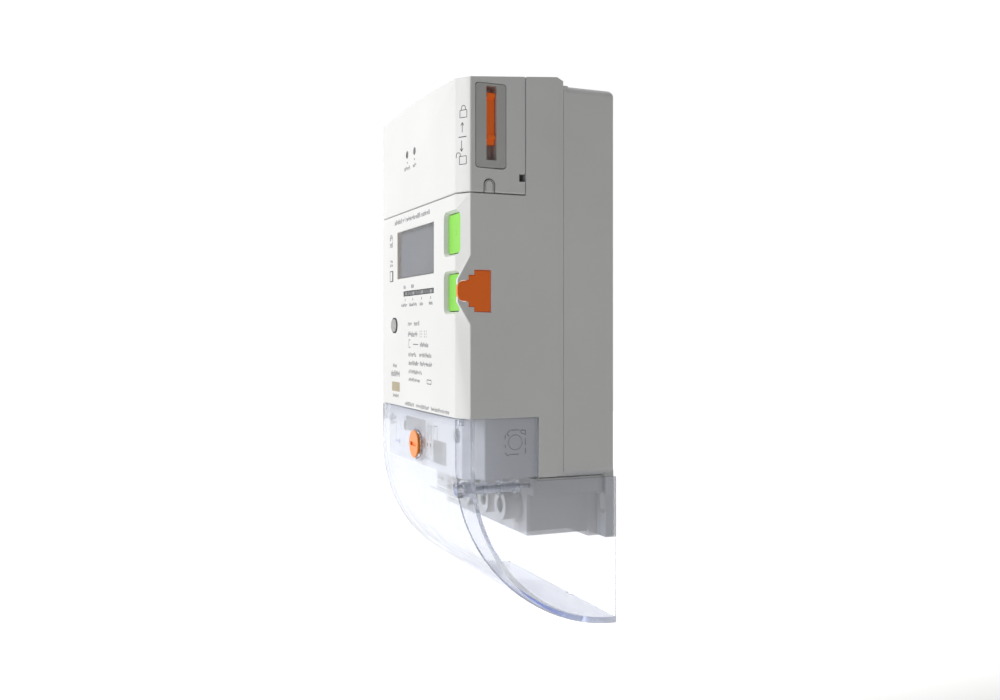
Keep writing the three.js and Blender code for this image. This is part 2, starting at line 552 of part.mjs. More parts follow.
// ---------- terminals ----------
function makeTerminalBlock() {
  let block = box(-BLOCK_HALF, BLOCK_HALF, BLOCK.front, BLOCK.back, BLOCK.low, LEDGE.low + 1);
  block = block.add(box(-LEDGE_HALF, LEDGE_HALF, BLOCK.front, -LUG_THICK - GAP, LEDGE.low, LEDGE.high));
  block = block.add(box(-BLOCK_HALF, BLOCK_HALF, BLOCK.back - 7, BLOCK.back, BLOCK.low - 2.4, BLOCK.low + 1));
  const towerFront = BLOCK.front - TOWER.length;
  for (const x of TERMINALS) {
    const neckTop = LEDGE.high;
    block = block.add(rod('y', x, TERMINAL_Z, towerFront, BLOCK.front + 1, TOWER.radius));
    block = block.add(box(x - TOWER.neck / 2, x + TOWER.neck / 2, towerFront, BLOCK.front + 1,
      TERMINAL_Z, neckTop));
    block = block.subtract(rod('y', x, TERMINAL_Z, towerFront - 1, CLAMP.y0 + 1, TOWER.bore));
    block = block.subtract(box(x - TOWER.slot / 2, x + TOWER.slot / 2, towerFront - 1, BLOCK.front - 2,
      TERMINAL_Z, neckTop - 1.6));
    block = block.subtract(box(x - CLAMP.width / 2 - GAP, x + CLAMP.width / 2 + GAP, CLAMP.y0 - GAP,
      CLAMP.y1 + GAP, -FAR, CLAMP.high + GAP));
    block = block.subtract(box(x - BUSBAR.width / 2 - GAP, x + BUSBAR.width / 2 + GAP,
      BUSBAR_FRONT - GAP, BUSBAR_BACK + GAP, CLAMP.high, LEDGE.high + 1));
  }
  return block.subtract(rod('y', SLEEVE_X, SLEEVE.z, BLOCK.front - 1, BLOCK.front + 12, SLEEVE.bore));
}

function makeClamp(x) {
  const body = box(x - CLAMP.width / 2, x + CLAMP.width / 2, CLAMP.y0, CLAMP.y1, CLAMP.low, CLAMP.high);
  const middle = (CLAMP.y0 + CLAMP.y1) / 2;
  const cable = rod('z', x, middle, CLAMP.low - 1, CLAMP.high - 2, CLAMP.cable, undefined, 16);
  const thread = rod('y', x, TERMINAL_Z, CLAMP.y0 - 1, middle, 2.5 + GAP, undefined, 16);
  return body.subtract(cable).subtract(thread);
}

function makeTerminalScrew(x) {
  const headBack = BLOCK.front + 1.5;
  const head = rod('y', x, TERMINAL_Z, headBack - 5, headBack, TOWER.bore - SLIDE_GAP, undefined, 20);
  const shank = rod('y', x, TERMINAL_Z, headBack - 1, CLAMP.y0 + 2.4, 2.5, undefined, 16);
  return head.add(shank).subtract(box(x - TOWER.bore, x + TOWER.bore, headBack - 6, headBack - 3.6,
    TERMINAL_Z - 0.6, TERMINAL_Z + 0.6));
}

function makeBusbar(x, top) {
  return box(x - BUSBAR.width / 2, x + BUSBAR.width / 2, BUSBAR_FRONT, BUSBAR_BACK, CLAMP.high + GAP, top);
}

function makeNeutralLink() {
  const [, , right, left] = TERMINALS;
  const bridge = box(left - BUSBAR.width / 2, right + BUSBAR.width / 2, BUSBAR_FRONT, BUSBAR_BACK,
    NEUTRAL.top - NEUTRAL.tall, NEUTRAL.top);
  return makeBusbar(left, NEUTRAL.top).add(makeBusbar(right, NEUTRAL.top)).add(bridge);
}

function makeAuxiliaryConnector() {
  const right = TERMINALS[3] - TOWER.radius - 3;
  const left = -BLOCK_HALF + 2.5;
  const front = BLOCK.front - 6;
  let body = box(left, right, front, BLOCK.front - GAP, TERMINAL_Z - 6, TERMINAL_Z + 5);
  const count = 3;
  for (let i = 0; i < count; i += 1) {
    const x = left + (right - left) * (i + 0.5) / count;
    body = body.subtract(rod('y', x, TERMINAL_Z + 1, front - 1, front + 3.5, 1.5, undefined, 12));
    body = body.subtract(box(x - 1.4, x + 1.4, front + 1.2, front + 4.4, TERMINAL_Z - 7, TERMINAL_Z - 3));
  }
  return body;
}

// ---------- clear terminal cover ----------
function coverOutline(inset, drop) {
  const outline = new THREE.Shape();
  outline.moveTo(FAR / 8, COVER_TOP + 20);
  outline.lineTo(FRONT + inset, COVER_TOP + 20);
  outline.absellipse(0, COVER_BEND, DEPTH - inset, drop - inset, Math.PI, Math.PI * 1.5);
  outline.lineTo(FAR / 8, COVER_BEND - drop + inset);
  return outline;
}

// The front corners are chamfered, and the chamfer narrows to nothing at the rear of the bottom.
function coverForm(inset, half) {
  const chamfered = extrude(coverOutline(inset, COVER_DROP + CHAMFER_Y), 'x', -half, half, {
    curveSegments: 20, bevelEnabled: true, bevelThickness: CHAMFER_X, bevelSize: CHAMFER_Y,
    bevelOffset: -CHAMFER_Y, bevelSegments: 1 });
  const square = extrude(coverOutline(inset, COVER_DROP), 'x', -half, half, { curveSegments: 20 });
  return square.intersect(chamfered);
}

function makeTerminalCover() {
  const keep = box(-FAR, FAR, -FAR, -GAP, -FAR, COVER_TOP).subtract(
    box(-FAR, FAR, -RECESS_BACK - GAP, FAR, LEDGE.high - GAP, FAR));
  let cover = coverForm(0, HALF).subtract(coverForm(COVER_WALL, HALF - COVER_WALL));
  const beadInset = COVER_WALL + COVER_BEAD.thick;
  const bead = coverForm(COVER_WALL / 2, HALF - COVER_WALL / 2).subtract(
    coverForm(beadInset, HALF - beadInset));
  cover = cover.add(bead.intersect(box(-FAR, FAR, -FAR, LOW_FRONT - GAP,
    COVER_TOP - COVER_BEAD.height, FAR)));
  cover = cover.intersect(keep);
  cover = cover.add(rod('y', SEAL.x, SEAL.z, FRONT + 0.5, CUP_END, SEAL.cup));
  cover = cover.subtract(rod('y', SEAL.x, SEAL.z, FRONT - 1, CUP_END - SEAL.cupWall - 0.2,
    SEAL.cup - SEAL.cupWall));
  cover = cover.subtract(rod('y', SEAL.x, SEAL.z, -FAR, 0, SEAL.stem + SLIDE_GAP, undefined, 16));
  const seat = FRONT + SLEEVE.seat;
  cover = cover.add(rod('y', SLEEVE_X, SLEEVE.z, FRONT + COVER_WALL / 2, seat + 1, SLEEVE.mouth));
  cover = cover.add(rod('y', SLEEVE_X, SLEEVE.z, seat, SLEEVE_END, SLEEVE.radius));
  for (const y of [...SLEEVE.collars.map((count) => FRONT + count), SLEEVE_END - SLEEVE.collarLong]) {
    cover = cover.add(rod('y', SLEEVE_X, SLEEVE.z, y, y + SLEEVE.collarLong, SLEEVE.collar));
  }
  cover = cover.subtract(rod('y', SLEEVE_X, SLEEVE.z, -FAR, SLEEVE_END + 1, SLEEVE.bore, undefined, 16));
  cover = cover.subtract(rod('y', SLEEVE_X, SLEEVE.z, -FAR, seat, SLEEVE.counterbore));
  const notchTop = COVER_BEND - COVER_DROP + COVER_WALL + 1;
  return cover.subtract(box(COVER_NOTCH.x0, COVER_NOTCH.x1, -GAP - COVER_NOTCH.depth, 1, -FAR, notchTop));
}

function makeSealScrew() {
  const headBack = FRONT + 0.2;
  const front = FRONT - SEAL.proud;
  const cupFloor = CUP_END - SEAL.cupWall - 0.2;
  let screw = rod('y', SEAL.x, SEAL.z, front, headBack, SEAL.head, undefined, 32);
  screw = screw.add(rod('y', SEAL.x, SEAL.z, headBack - 0.2, cupFloor - GAP, 4.2, SEAL.stem + 0.6));
  screw = screw.add(rod('y', SEAL.x, SEAL.z, headBack, LOW_FRONT + WALL + 2, SEAL.stem, undefined, 16));
  return screw.subtract(box(SEAL.x - 4.6, SEAL.x + 4.6, front - 1, front + 1, SEAL.z - 0.9, SEAL.z + 0.9));
}

function makeCoverScrew() {
  const back = FRONT + SLEEVE.seat - GAP;
  const front = back - SLEEVE.headLong;
  const head = rod('y', SLEEVE_X, SLEEVE.z, front, back, SLEEVE.counterbore - GAP);
  const shank = rod('y', SLEEVE_X, SLEEVE.z, back - 1, BLOCK.front + 8, SLEEVE.bore - SLIDE_GAP,
    undefined, 16);
  const slot = box(SLEEVE_X - SLEEVE.mouth, SLEEVE_X + SLEEVE.mouth, front - 1, front + 1, SLEEVE.z - 0.4,
    SLEEVE.z + 0.4);
  return head.add(shank).subtract(slot);
}

// ---------- boards and what they carry ----------
function makeMainBoard() {
  let board = box(-BOARD_HALF, BOARD_HALF, BOARD_FRONT, BOARD_BACK, BOARD.z0, BOARD.z1);
  for (const x of [-CASE_SCREW_X, CASE_SCREW_X]) {
    board = board.subtract(rod('y', x, CASE_SCREW.lower, -FAR, 0, CASE_SCREW.pillar + GAP, undefined, 16));
  }
  for (const { x, z } of boardPosts()) {
    board = board.subtract(rod('y', x, z, -FAR, 0, 1.4, undefined, 10));
  }
  return board;
}

function makeScrew(x, z, headFront, headLong, headRadius, shank, end) {
  const pointsBack = end > headFront;
  const head = pointsBack ? [headFront, headFront + headLong] : [headFront - headLong, headFront];
  const body = pointsBack ? [headFront + headLong / 2, end] : [end, headFront - headLong / 2];
  const slot = pointsBack ? [headFront - 1, headFront + 0.7] : [headFront - 0.7, headFront + 1];
  const screw = rod('y', x, z, head[0], head[1], headRadius, undefined, 16).add(
    rod('y', x, z, body[0], body[1], shank, undefined, 12));
  return screw.subtract(box(x - headRadius - 1, x + headRadius + 1, slot[0], slot[1], z - 0.4, z + 0.4));
}

function makeTamperPlunger() {
  const cap = rod('y', TAMPER.x, TAMPER.z, LOW_FRONT + 0.8, LOW_FRONT + WALL + 3, TAMPER.radius);
  return cap.add(rod('y', TAMPER.x, TAMPER.z, LOW_FRONT + WALL + GAP, LOW_FRONT + WALL + 2,
    TAMPER.radius + 1.2));
}

function makeTamperSwitch() {
  const plungerEnd = LOW_FRONT + WALL + 3;
  return box(TAMPER.x - 5, TAMPER.x + 5, plungerEnd + TAMPER.travel + GAP, BOARD_FRONT - GAP,
    TAMPER.z - 3.2, TAMPER.z + 3.2);
}

// ---------- assembly ----------
const WHITE = 0xf3f3f1;
const GREY = 0xc9c9c4;
const GREEN = 0x8fe84a;
const ORANGE = 0xe8661f;
const BRASS = 0xc8a24a;
const STEEL = 0xb9bcc0;
const COPPER = 0xb87333;
const PCB = 0x1f6b3a;
const DARK = 0x2b2d30;

addPiece('base_housing', makeTub(), WHITE, 0.55);
addPiece('front_cover', makeFrontCover(), WHITE, 0.5);
addPiece('case_gasket', makeGasket(), DARK, 0.9);

addPiece('module_cover', makeModuleCover(), WHITE, 0.5);
addPiece('module_lock_guide', makeLockGuide(), GREY, 0.5);
addPiece('module_lock_slider', makeLockSlider(), ORANGE, 0.45);
addPiece('module_board', makeModuleBoard(), PCB, 0.6);
addPiece('module_radio_can', box(RADIO_CAN.x0, RADIO_CAN.x1, MODULE_BOARD_FRONT - GAP - RADIO_CAN.tall,
  MODULE_BOARD_FRONT - GAP, RADIO_CAN.z0, RADIO_CAN.z1), STEEL, 0.35, 1);
addPiece('module_header', makeHeader(), DARK, 0.6);
addPiece('module_socket', makeSocket(), DARK, 0.6);
LIGHT_PIPES.xs.forEach((x, i) => {
  addPiece(`module_light_pipe_${i + 1}`, rod('y', x, LIGHT_PIPES.z, FRONT - LIGHT_PIPES.proud,
    MODULE_BOARD_FRONT - GAP, LIGHT_PIPES.radius, undefined, 16), 0x6a6f74, 0.2);
});

addPiece('display_window', makeWindow(DISPLAY, 0.9), 0xa0a3aa, 0.15);
addPiece('display_frame', makeDisplayFrame(), 0xe9e6dc, 0.6);
addPiece('display_panel', makeDisplayPanel(), 0x9aa08f, 0.3);
addPiece('indicator_window', makeWindow(LAMPS, 0.5), 0x55585c, 0.2);
addPiece('pulse_lens', makePulseLens(), 0xb8b8b4, 0.25);

for (const [name, button] of [['upper', BUTTON_UPPER], ['lower', BUTTON_LOWER]]) {
  addPiece(`button_${name}`, makeButton(button), GREEN, 0.4);
  addPiece(`button_switch_${name}`, makeSwitch(button), DARK, 0.6);
}
addPiece('button_lock_plug', makePlug(), ORANGE, 0.45);

addPiece('main_board', makeMainBoard(), PCB, 0.6);
boardPosts().forEach(({ x, z }, i) => {
  addPiece(`board_screw_${i + 1}`, makeScrew(x, z, BOARD_BACK + GAP + 1.6, 1.6, 2.4, 1, BOARD_FRONT - 6),
    STEEL, 0.35, 1);
});
addPiece('backup_battery', rod('x', BOARD_BACK + GAP + BATTERY.radius, BATTERY.z, BATTERY.x0, BATTERY.x1,
  BATTERY.radius), 0x3a3f46, 0.4);
addPiece('buzzer', rod('y', BUZZER.x, BUZZER.z, BOARD_BACK + GAP, BOARD_BACK + GAP + BUZZER.tall,
  BUZZER.radius), DARK, 0.6);

addPiece('latching_relay', box(TERMINALS[1] - RELAY.left, TERMINALS[0] + RELAY.right, RELAY.front,
  -WALL - GAP, RELAY.z0, RELAY.z1), 0x30343a, 0.5);
addPiece('busbar_line_in', makeBusbar(TERMINALS[0], RELAY.z0 - GAP), COPPER, 0.35, 1);
addPiece('busbar_line_out', makeBusbar(TERMINALS[1], RELAY.z0 - GAP), COPPER, 0.35, 1);
addPiece('neutral_link', makeNeutralLink(), COPPER, 0.35, 1);
addPiece('current_shunt', box(TERMINALS[0] - SHUNT.half, TERMINALS[0] + SHUNT.half,
  BUSBAR_FRONT - GAP - SHUNT.thick, BUSBAR_FRONT - GAP, SHUNT.z0, SHUNT.z1), 0x9a8468, 0.4, 1);
const transformerLeft = -HALF + TRANSFORMER.fromEdge;
addPiece('supply_transformer', box(transformerLeft, transformerLeft + TRANSFORMER.width, TRANSFORMER.front,
  -WALL - GAP, TRANSFORMER.z0, TRANSFORMER.z1), 0xd8b23c, 0.5);
addPiece('supply_capacitor', rod('z', CAPACITOR.x, -WALL - GAP - CAPACITOR.radius, CAPACITOR.z0, CAPACITOR.z1,
  CAPACITOR.radius), 0x26303c, 0.4);

addPiece('terminal_block', makeTerminalBlock(), GREY, 0.55);
TERMINALS.forEach((x, i) => {
  addPiece(`terminal_clamp_${i + 1}`, makeClamp(x), BRASS, 0.35, 1);
  addPiece(`terminal_screw_${i + 1}`, makeTerminalScrew(x), STEEL, 0.35, 1);
});
addPiece('auxiliary_connector', makeAuxiliaryConnector(), 0xd9d9d2, 0.5);

addPiece('terminal_cover', makeTerminalCover(), 0xdfe6f2, 0.08);
addPiece('seal_screw', makeSealScrew(), 0xff9a3c, 0.4);
addPiece('cover_screw', makeCoverScrew(), 0xc9bf94, 0.35, 1);

for (const [side, x] of [['left', -CASE_SCREW_X], ['right', CASE_SCREW_X]]) {
  const end = BAY + WALL + 18;
  addPiece(`case_screw_upper_${side}`, makeScrew(x, CASE_SCREW.upper, BAY - GAP - CASE_SCREW.headLong,
    CASE_SCREW.headLong, CASE_SCREW.head, CASE_SCREW.shank, end), STEEL, 0.35, 1);
  addPiece(`case_screw_lower_${side}`, makeScrew(x, CASE_SCREW.lower, LOW_FRONT + 0.1,
    CASE_SCREW.headLong, CASE_SCREW.head, CASE_SCREW.shank, end), STEEL, 0.35, 1);
}
addPiece('tamper_plunger', makeTamperPlunger(), DARK, 0.5);
addPiece('tamper_switch', makeTamperSwitch(), DARK, 0.6);

export default group;
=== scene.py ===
"""Prepaid electricity meter on a pale studio floor. Metres, Z up, the meter's front faces -Y."""

import json
import math
import random

import bmesh
import bpy
from mathutils import Matrix, Vector


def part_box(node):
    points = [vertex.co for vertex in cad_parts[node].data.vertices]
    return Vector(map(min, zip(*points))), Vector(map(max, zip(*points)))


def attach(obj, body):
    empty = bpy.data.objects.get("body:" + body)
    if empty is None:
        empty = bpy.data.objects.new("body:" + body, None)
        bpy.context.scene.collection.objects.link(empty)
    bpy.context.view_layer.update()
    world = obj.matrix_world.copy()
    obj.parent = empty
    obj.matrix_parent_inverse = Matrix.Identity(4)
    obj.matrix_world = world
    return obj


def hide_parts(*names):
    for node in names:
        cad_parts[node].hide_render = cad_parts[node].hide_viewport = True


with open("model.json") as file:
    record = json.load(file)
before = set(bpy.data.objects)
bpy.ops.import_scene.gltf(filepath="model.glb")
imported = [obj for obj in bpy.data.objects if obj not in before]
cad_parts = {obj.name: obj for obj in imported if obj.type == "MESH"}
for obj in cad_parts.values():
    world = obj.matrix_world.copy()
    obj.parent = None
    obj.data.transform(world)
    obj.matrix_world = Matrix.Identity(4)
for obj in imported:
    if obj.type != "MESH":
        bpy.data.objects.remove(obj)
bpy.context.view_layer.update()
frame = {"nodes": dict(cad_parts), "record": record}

MM = 0.001
NODES = frame["nodes"]
BODY_OF = {n: b for b, members in frame["record"]["behaviour"]["bodies"].items() for n in members}


# ---------- camera ----------
EYE = (0.4784, -0.2336, -0.024)
LOOKING = Vector((-0.9219, 0.3875, 0))


def make_camera():
    """A level camera to the right of the meter, low enough to see under its clear cover."""
    data = bpy.data.cameras.new("camera")
    data.lens = 36
    data.sensor_width = 36
    data.shift_y = -0.017
    data.clip_start = 0.01
    data.clip_end = 50
    camera = bpy.data.objects.new("camera", data)
    camera.location = EYE
    camera.rotation_mode = "QUATERNION"
    camera.rotation_quaternion = LOOKING.to_track_quat("-Z", "Y")
    bpy.context.scene.collection.objects.link(camera)
    bpy.context.scene.camera = camera


make_camera()


# ---------- node helpers ----------
# sockets of the Mix node when it mixes colours
COLOUR_A, COLOUR_B, COLOUR_OUT = 6, 7, 2


def linear(colour):
    """A #RRGGBB colour as linear RGBA."""
    parts = [int(colour[i:i + 2], 16) / 255 for i in (1, 3, 5)]
    return (*[c / 12.92 if c <= 0.04045 else ((c + 0.055) / 1.055) ** 2.4 for c in parts], 1)


def add(tree, kind, inputs=None, **settings):
    """Adds a shader node. An input is a value, or the output socket that feeds it."""
    made = tree.nodes.new("ShaderNode" + kind)
    for name, value in settings.items():
        setattr(made, name, value)
    for name, value in (inputs or {}).items():
        if isinstance(value, bpy.types.NodeSocket):
            tree.links.new(value, made.inputs[name])
        else:
            made.inputs[name].default_value = value
    return made


def start_material(name):
    """An empty material, its node tree and the place on the piece that its patterns read."""
    material = bpy.data.materials.new(name)
    material.use_nodes = True
    tree = material.node_tree
    tree.nodes.clear()
    return material, tree, add(tree, "TexCoord").outputs["Object"]


def speckle(tree, place, size, detail=3, stretch=(1, 1, 1)):
    """Noise whose blobs are about size millimetres across."""
    spot = add(tree, "Mapping", {"Vector": place, "Scale": stretch}).outputs[0]
    noise = add(tree, "TexNoise", {"Vector": spot, "Scale": 0.5 / (size * MM), "Detail": detail})
    return noise.outputs["Fac"]


def between(tree, factor, low, high):
    """Spreads the middle of a noise over low to high."""
    return add(tree, "MapRange", {"Value": factor, "From Min": 0.3, "From Max": 0.7,
                                  "To Min": low, "To Max": high}).outputs[0]


def tint(tree, factor, dark, light):
    """A colour that runs from dark to light."""
    mix = add(tree, "Mix", {"Factor": factor}, data_type="RGBA")
    mix.inputs[COLOUR_A].default_value = linear(dark)
    mix.inputs[COLOUR_B].default_value = linear(light)
    return mix.outputs[COLOUR_OUT]


def relief(tree, height, depth):
    """Bump of depth millimetres."""
    return add(tree, "Bump", {"Height": height, "Distance": depth * MM, "Strength": 1.0}).outputs[0]


def output(tree, surface, volume=None):
    """Ends a material with its surface, and with what lies inside it where it is clear."""
    made = add(tree, "OutputMaterial", {"Surface": surface})
    if volume:
        tree.links.new(volume, made.inputs["Volume"])


# ---------- materials ----------
def moulded(name, dark, light, rough=(0.42, 0.5), grain=0.35, depth=0.012, glow=None):
    """Moulded plastic: a fine spark-eroded grain, a slow drift of colour and uneven shine."""
    material, tree, place = start_material(name)
    drift = between(tree, speckle(tree, place, 26, 2), 0, 1)
    colour = tint(tree, drift, dark, light)
    shine = between(tree, speckle(tree, place, 7, 4), *rough)
    normal = relief(tree, speckle(tree, place, grain, 2), depth)
    skin = add(tree, "BsdfPrincipled", {"Base Color": colour, "Roughness": shine, "Normal": normal,
                                        "IOR": 1.5})
    # a glow is painted light: emission that brightens the piece though it is no lamp
    if glow:
        skin.inputs["Emission Color"].default_value = linear(glow)
        skin.inputs["Emission Strength"].default_value = 1.0
    output(tree, skin.outputs[0])
    return material


def bare_metal(name, dark, light, rough=(0.22, 0.4), along=(1, 1, 1)):
    """Metal with fine drawing marks in one direction and patches of duller skin."""
    material, tree, place = start_material(name)
    marks = speckle(tree, place, 0.4, 3, along)
    patches = speckle(tree, place, 5, 3)
    colour = tint(tree, between(tree, patches, 0, 1), dark, light)
    shine = between(tree, marks, *rough)
    skin = add(tree, "BsdfPrincipled", {"Base Color": colour, "Roughness": shine, "Metallic": 1.0,
                                        "Normal": relief(tree, marks, 0.01)})
    output(tree, skin.outputs[0])
    return material


def clear_moulding(name, edge_tint, density):
    """Clear polycarbonate: hardly tinted through a wall, blue where the eye looks along one, with painted
    blue-grey shade where its surface turns away from the eye.

    Shadow rays pass almost straight through it, so what lies under the cover stays bright.
    """
    material, tree, place = start_material(name)
    ripple = speckle(tree, place, 14, 1)
    shine = between(tree, speckle(tree, place, 3, 3), 0.02, 0.06)
    turned_away = add(tree, "LayerWeight", {"Blend": 0.5}).outputs["Facing"]
    # rim: painted shade, a blue-grey tint on the grazing parts that stands in for the dark lines along
    # the cover's edges
    rim = add(tree, "MapRange", {"Value": turned_away, "From Min": 0.8, "From Max": 1.0}).outputs[0]
    skin = add(tree, "BsdfPrincipled", {"Base Color": tint(tree, rim, "#FBFCFF", "#8890B0"),
                                        "Roughness": shine, "IOR": 1.5, "Transmission Weight": 1.0,
                                        "Alpha": 0.85, "Normal": relief(tree, ripple, 0.05)})
    depth_tint = add(tree, "VolumeAbsorption", {"Color": linear(edge_tint), "Density": density})
    to_lamp = add(tree, "LightPath").outputs["Is Shadow Ray"]
    open_way = add(tree, "BsdfTransparent", {"Color": linear("#E2E4E8")})
    passed = add(tree, "MixShader", {"Fac": to_lamp})
    tree.links.new(skin.outputs[0], passed.inputs[1])
    tree.links.new(open_way.outputs[0], passed.inputs[2])
    output(tree, passed.outputs[0], depth_tint.outputs[0])
    return material


def tinted_pane(name, dark, light, clearness):
    """A pane, lens or lamp that is part see-through, with faint cloudiness and wiping marks."""
    material, tree, place = start_material(name)
    cloud = between(tree, speckle(tree, place, 12, 2), 0, 1)
    shine = between(tree, speckle(tree, place, 4, 4, (1, 1, 3)), 0.05, 0.1)
    skin = add(tree, "BsdfPrincipled", {"Base Color": tint(tree, cloud, dark, light), "Roughness": shine,
                                        "IOR": 1.49, "Transmission Weight": clearness})
    output(tree, skin.outputs[0])
    return material


def blank_display(name, cool, warm):
    """A display with nothing on it, under a polariser film: cool at the left, warmer and lighter at the
    right, with a faint drift.
    """
    material, tree, place = start_material(name)
    across = add(tree, "SeparateXYZ", {"Vector": place}).outputs["X"]
    drift = speckle(tree, place, 9, 2, (1, 1, 0.25))
    lean = add(tree, "MapRange", {"Value": across, "From Min": -0.03, "From Max": 0.02}).outputs[0]
    mixed = add(tree, "Math", {0: lean, 1: between(tree, drift, -0.35, 0.35)}, operation="ADD",
                use_clamp=True).outputs[0]
    skin = add(tree, "BsdfPrincipled", {"Base Color": tint(tree, mixed, cool, warm),
                                        "Roughness": between(tree, speckle(tree, place, 3), 0.14, 0.22)})
    output(tree, skin.outputs[0])
    return material


def circuit_laminate(name):
    """Solder mask over a glass weave, with copper tracks showing as paler green lines."""
    material, tree, place = start_material(name)
    upright = add(tree, "Mapping", {"Vector": place, "Rotation": (math.pi / 2, 0, 0)}).outputs[0]
    layout = add(tree, "TexBrick", {"Vector": upright, "Scale": 1.0, "Brick Width": 11 * MM,
                                    "Row Height": 1.3 * MM, "Mortar Size": 0.22 * MM}, offset=0.35)
    tracks = layout.outputs["Fac"]
    shine = between(tree, speckle(tree, place, 0.6, 2), 0.28, 0.42)
    skin = add(tree, "BsdfPrincipled", {"Base Color": tint(tree, tracks, "#17532C", "#2C7A45"),
                                        "Roughness": shine, "Normal": relief(tree, tracks, 0.05)})
    output(tree, skin.outputs[0])
    return material


def wound_tape(name, dark, light):
    """Coil tape: rings of narrow overlapped turns, half a millimetre apart."""
    material, tree, place = start_material(name)
    pitch = 0.5 * MM
    bands = add(tree, "TexWave", {"Vector": place, "Scale": 0.3 / pitch, "Distortion": 0.4},
                bands_direction="Z").outputs["Fac"]
    skin = add(tree, "BsdfPrincipled", {"Base Color": tint(tree, bands, dark, light),
                                        "Roughness": between(tree, speckle(tree, place, 2), 0.3, 0.45),
                                        "Normal": relief(tree, bands, 0.06)})
    output(tree, skin.outputs[0])
    return material


def printing(name, dark, light):
    """Screen-printed ink: slightly uneven cover, matt."""
    material, tree, place = start_material(name)
    cover = between(tree, speckle(tree, place, 0.5, 2), 0, 1)
    shine = between(tree, speckle(tree, place, 1.5), 0.5, 0.65)
    skin = add(tree, "BsdfPrincipled", {"Base Color": tint(tree, cover, dark, light), "Roughness": shine})
    output(tree, skin.outputs[0])
    return material


# the case: cool white ABS with a soft grain
white_abs = moulded("white case plastic", "#EDEDEC", "#F2F2F1")
# terminal block: grey-white glass-filled plastic, duller than the case
block_plastic = moulded("grey-white terminal plastic", "#E6E5E1", "#ECEBE8", (0.5, 0.62), 0.6, 0.03)
# the lock's guide: pale grey moulding, a shade darker than the case
grey_plastic = moulded("pale grey plastic", "#C8C8C6", "#D0D0CE", (0.4, 0.5))
# buttons: bright apple green, satin, which the eye picks out first
green_plastic = moulded("green button plastic", "#84DF36", "#90E842", (0.32, 0.42), 0.3, 0.008)
# slide lock and plug: strong orange with a painted glow, an emission standing in for a day-glow pigment,
# so it stays warm and bright on the shade side
orange_plastic = moulded("orange lock plastic with painted glow", "#F06A16", "#F6741E", (0.34, 0.44), 0.3, 0.008,
                         glow="#642804")
# seal screw: lighter orange, semi-gloss, so that its slot reads red
screw_plastic = moulded("light orange screw plastic", "#FF8E2E", "#FF9A3A", (0.28, 0.36), 0.3, 0.006)
# switches, connectors and relay: near-black with a fine grain
black_plastic = moulded("black plastic", "#232528", "#2C2E31", (0.45, 0.6))
# gasket: matt black rubber
seal_rubber = moulded("black seal rubber", "#18191A", "#202122", (0.75, 0.9), 0.5, 0.03)
# display frame: warm off-white with a painted glow, an emission that keeps the beige line round the
# display bright though it faces the dim side
frame_plastic_painted_glow = moulded("warm white frame plastic with painted glow", "#DDD3BE", "#E6DDCA", (0.5, 0.6), glow="#7A705E")
# sleeves of the capacitor and the battery: shrink film, glossier than the case
sleeve_blue = moulded("dark blue sleeve film", "#1C2A44", "#24344F", (0.25, 0.35), 1.2, 0.02)
sleeve_grey = moulded("grey battery film", "#3A3F46", "#474C53", (0.3, 0.4), 1.2, 0.02)
# screws of the case, boards and terminals: dull grey-white zinc; the cover's own screw is brighter
plated_steel = bare_metal("zinc-plated steel", "#A9ACB0", "#C3C6CA")
pale_screw_steel = bare_metal("bright-plated steel", "#C6C8CB", "#DCDEE0")
# terminal clamps, busbars, shunt and shield: the colours tell them apart inside the case
turned_brass = bare_metal("turned brass", "#B8923C", "#D0AC55", (0.2, 0.35), (1, 4, 1))
rolled_copper = bare_metal("rolled copper", "#A8622F", "#C47A43", (0.25, 0.4), (1, 1, 0.1))
shunt_metal = bare_metal("manganin shunt", "#7E6A52", "#9A8468", (0.35, 0.5), (1, 1, 0.1))
tinned_can = bare_metal("tinned shield can", "#B4B6B6", "#D0D2D2", (0.25, 0.4), (0.2, 1, 1))
# clear cover: water-clear polycarbonate that goes blue at its cut edges, with painted blue-grey shade
# where it turns from the eye
clear_cover = clear_moulding("clear cover polycarbonate", "#7CA2EC", 15)
# display: a clear pane over a blank grey cell
display_pane = tinted_pane("display pane", "#C9CDD6", "#D6DAE2", 0.92)
display_glass = blank_display("blank liquid crystal glass", "#858DA0", "#A19D97")
# lamps and lens: smoked acrylic, so they read as grey dots when unlit; the lamp domes' pale tone is a
# painted highlight
lamp_strip = tinted_pane("smoked lamp window", "#4A4D51", "#5C5F63", 0.35)
light_guide = tinted_pane("light pipe acrylic", "#5E6266", "#74787C", 0.5)
lamp_dome_painted_highlight = tinted_pane("lamp dome acrylic with painted highlight", "#8E9296", "#A4A8AC", 0.3)
pulse_clear = tinted_pane("pulse lens acrylic", "#B4B5B3", "#C4C5C3", 0.4)
# circuit boards and the transformer's coil
board_laminate = circuit_laminate("green circuit board")
coil_tape = wound_tape("yellow coil tape", "#C9A22E", "#E0BC4A")
# inks and paper labels, all matt
grey_ink = printing("grey ink", "#6F7276", "#85888C")
dark_ink = printing("dark ink", "#3E4145", "#505357")
beige_label = printing("beige paper label", "#B3A588", "#BDB094")
grey_label = printing("grey wiring label", "#8F8F8D", "#9C9C9A")
pale_label = printing("pale label paper", "#DCDCDA", "#E6E6E4")
blue_ink = printing("blue ink", "#4A5FA8", "#5A70B8")


# ---------- shaping helpers (millimetres in, metres out) ----------
BEND_STEPS = 2  # flats across a rounded edge
SHARP = math.radians(28)
SHORTEST = 1.0 * MM
WELD = 0.002 * MM  # corners of a CAD node nearer than this are one
HAIR = 0.0001 * MM  # the same for a piece made here
ONE_PLANE = math.radians(0.6)  # faces that turn less than this are one flat face


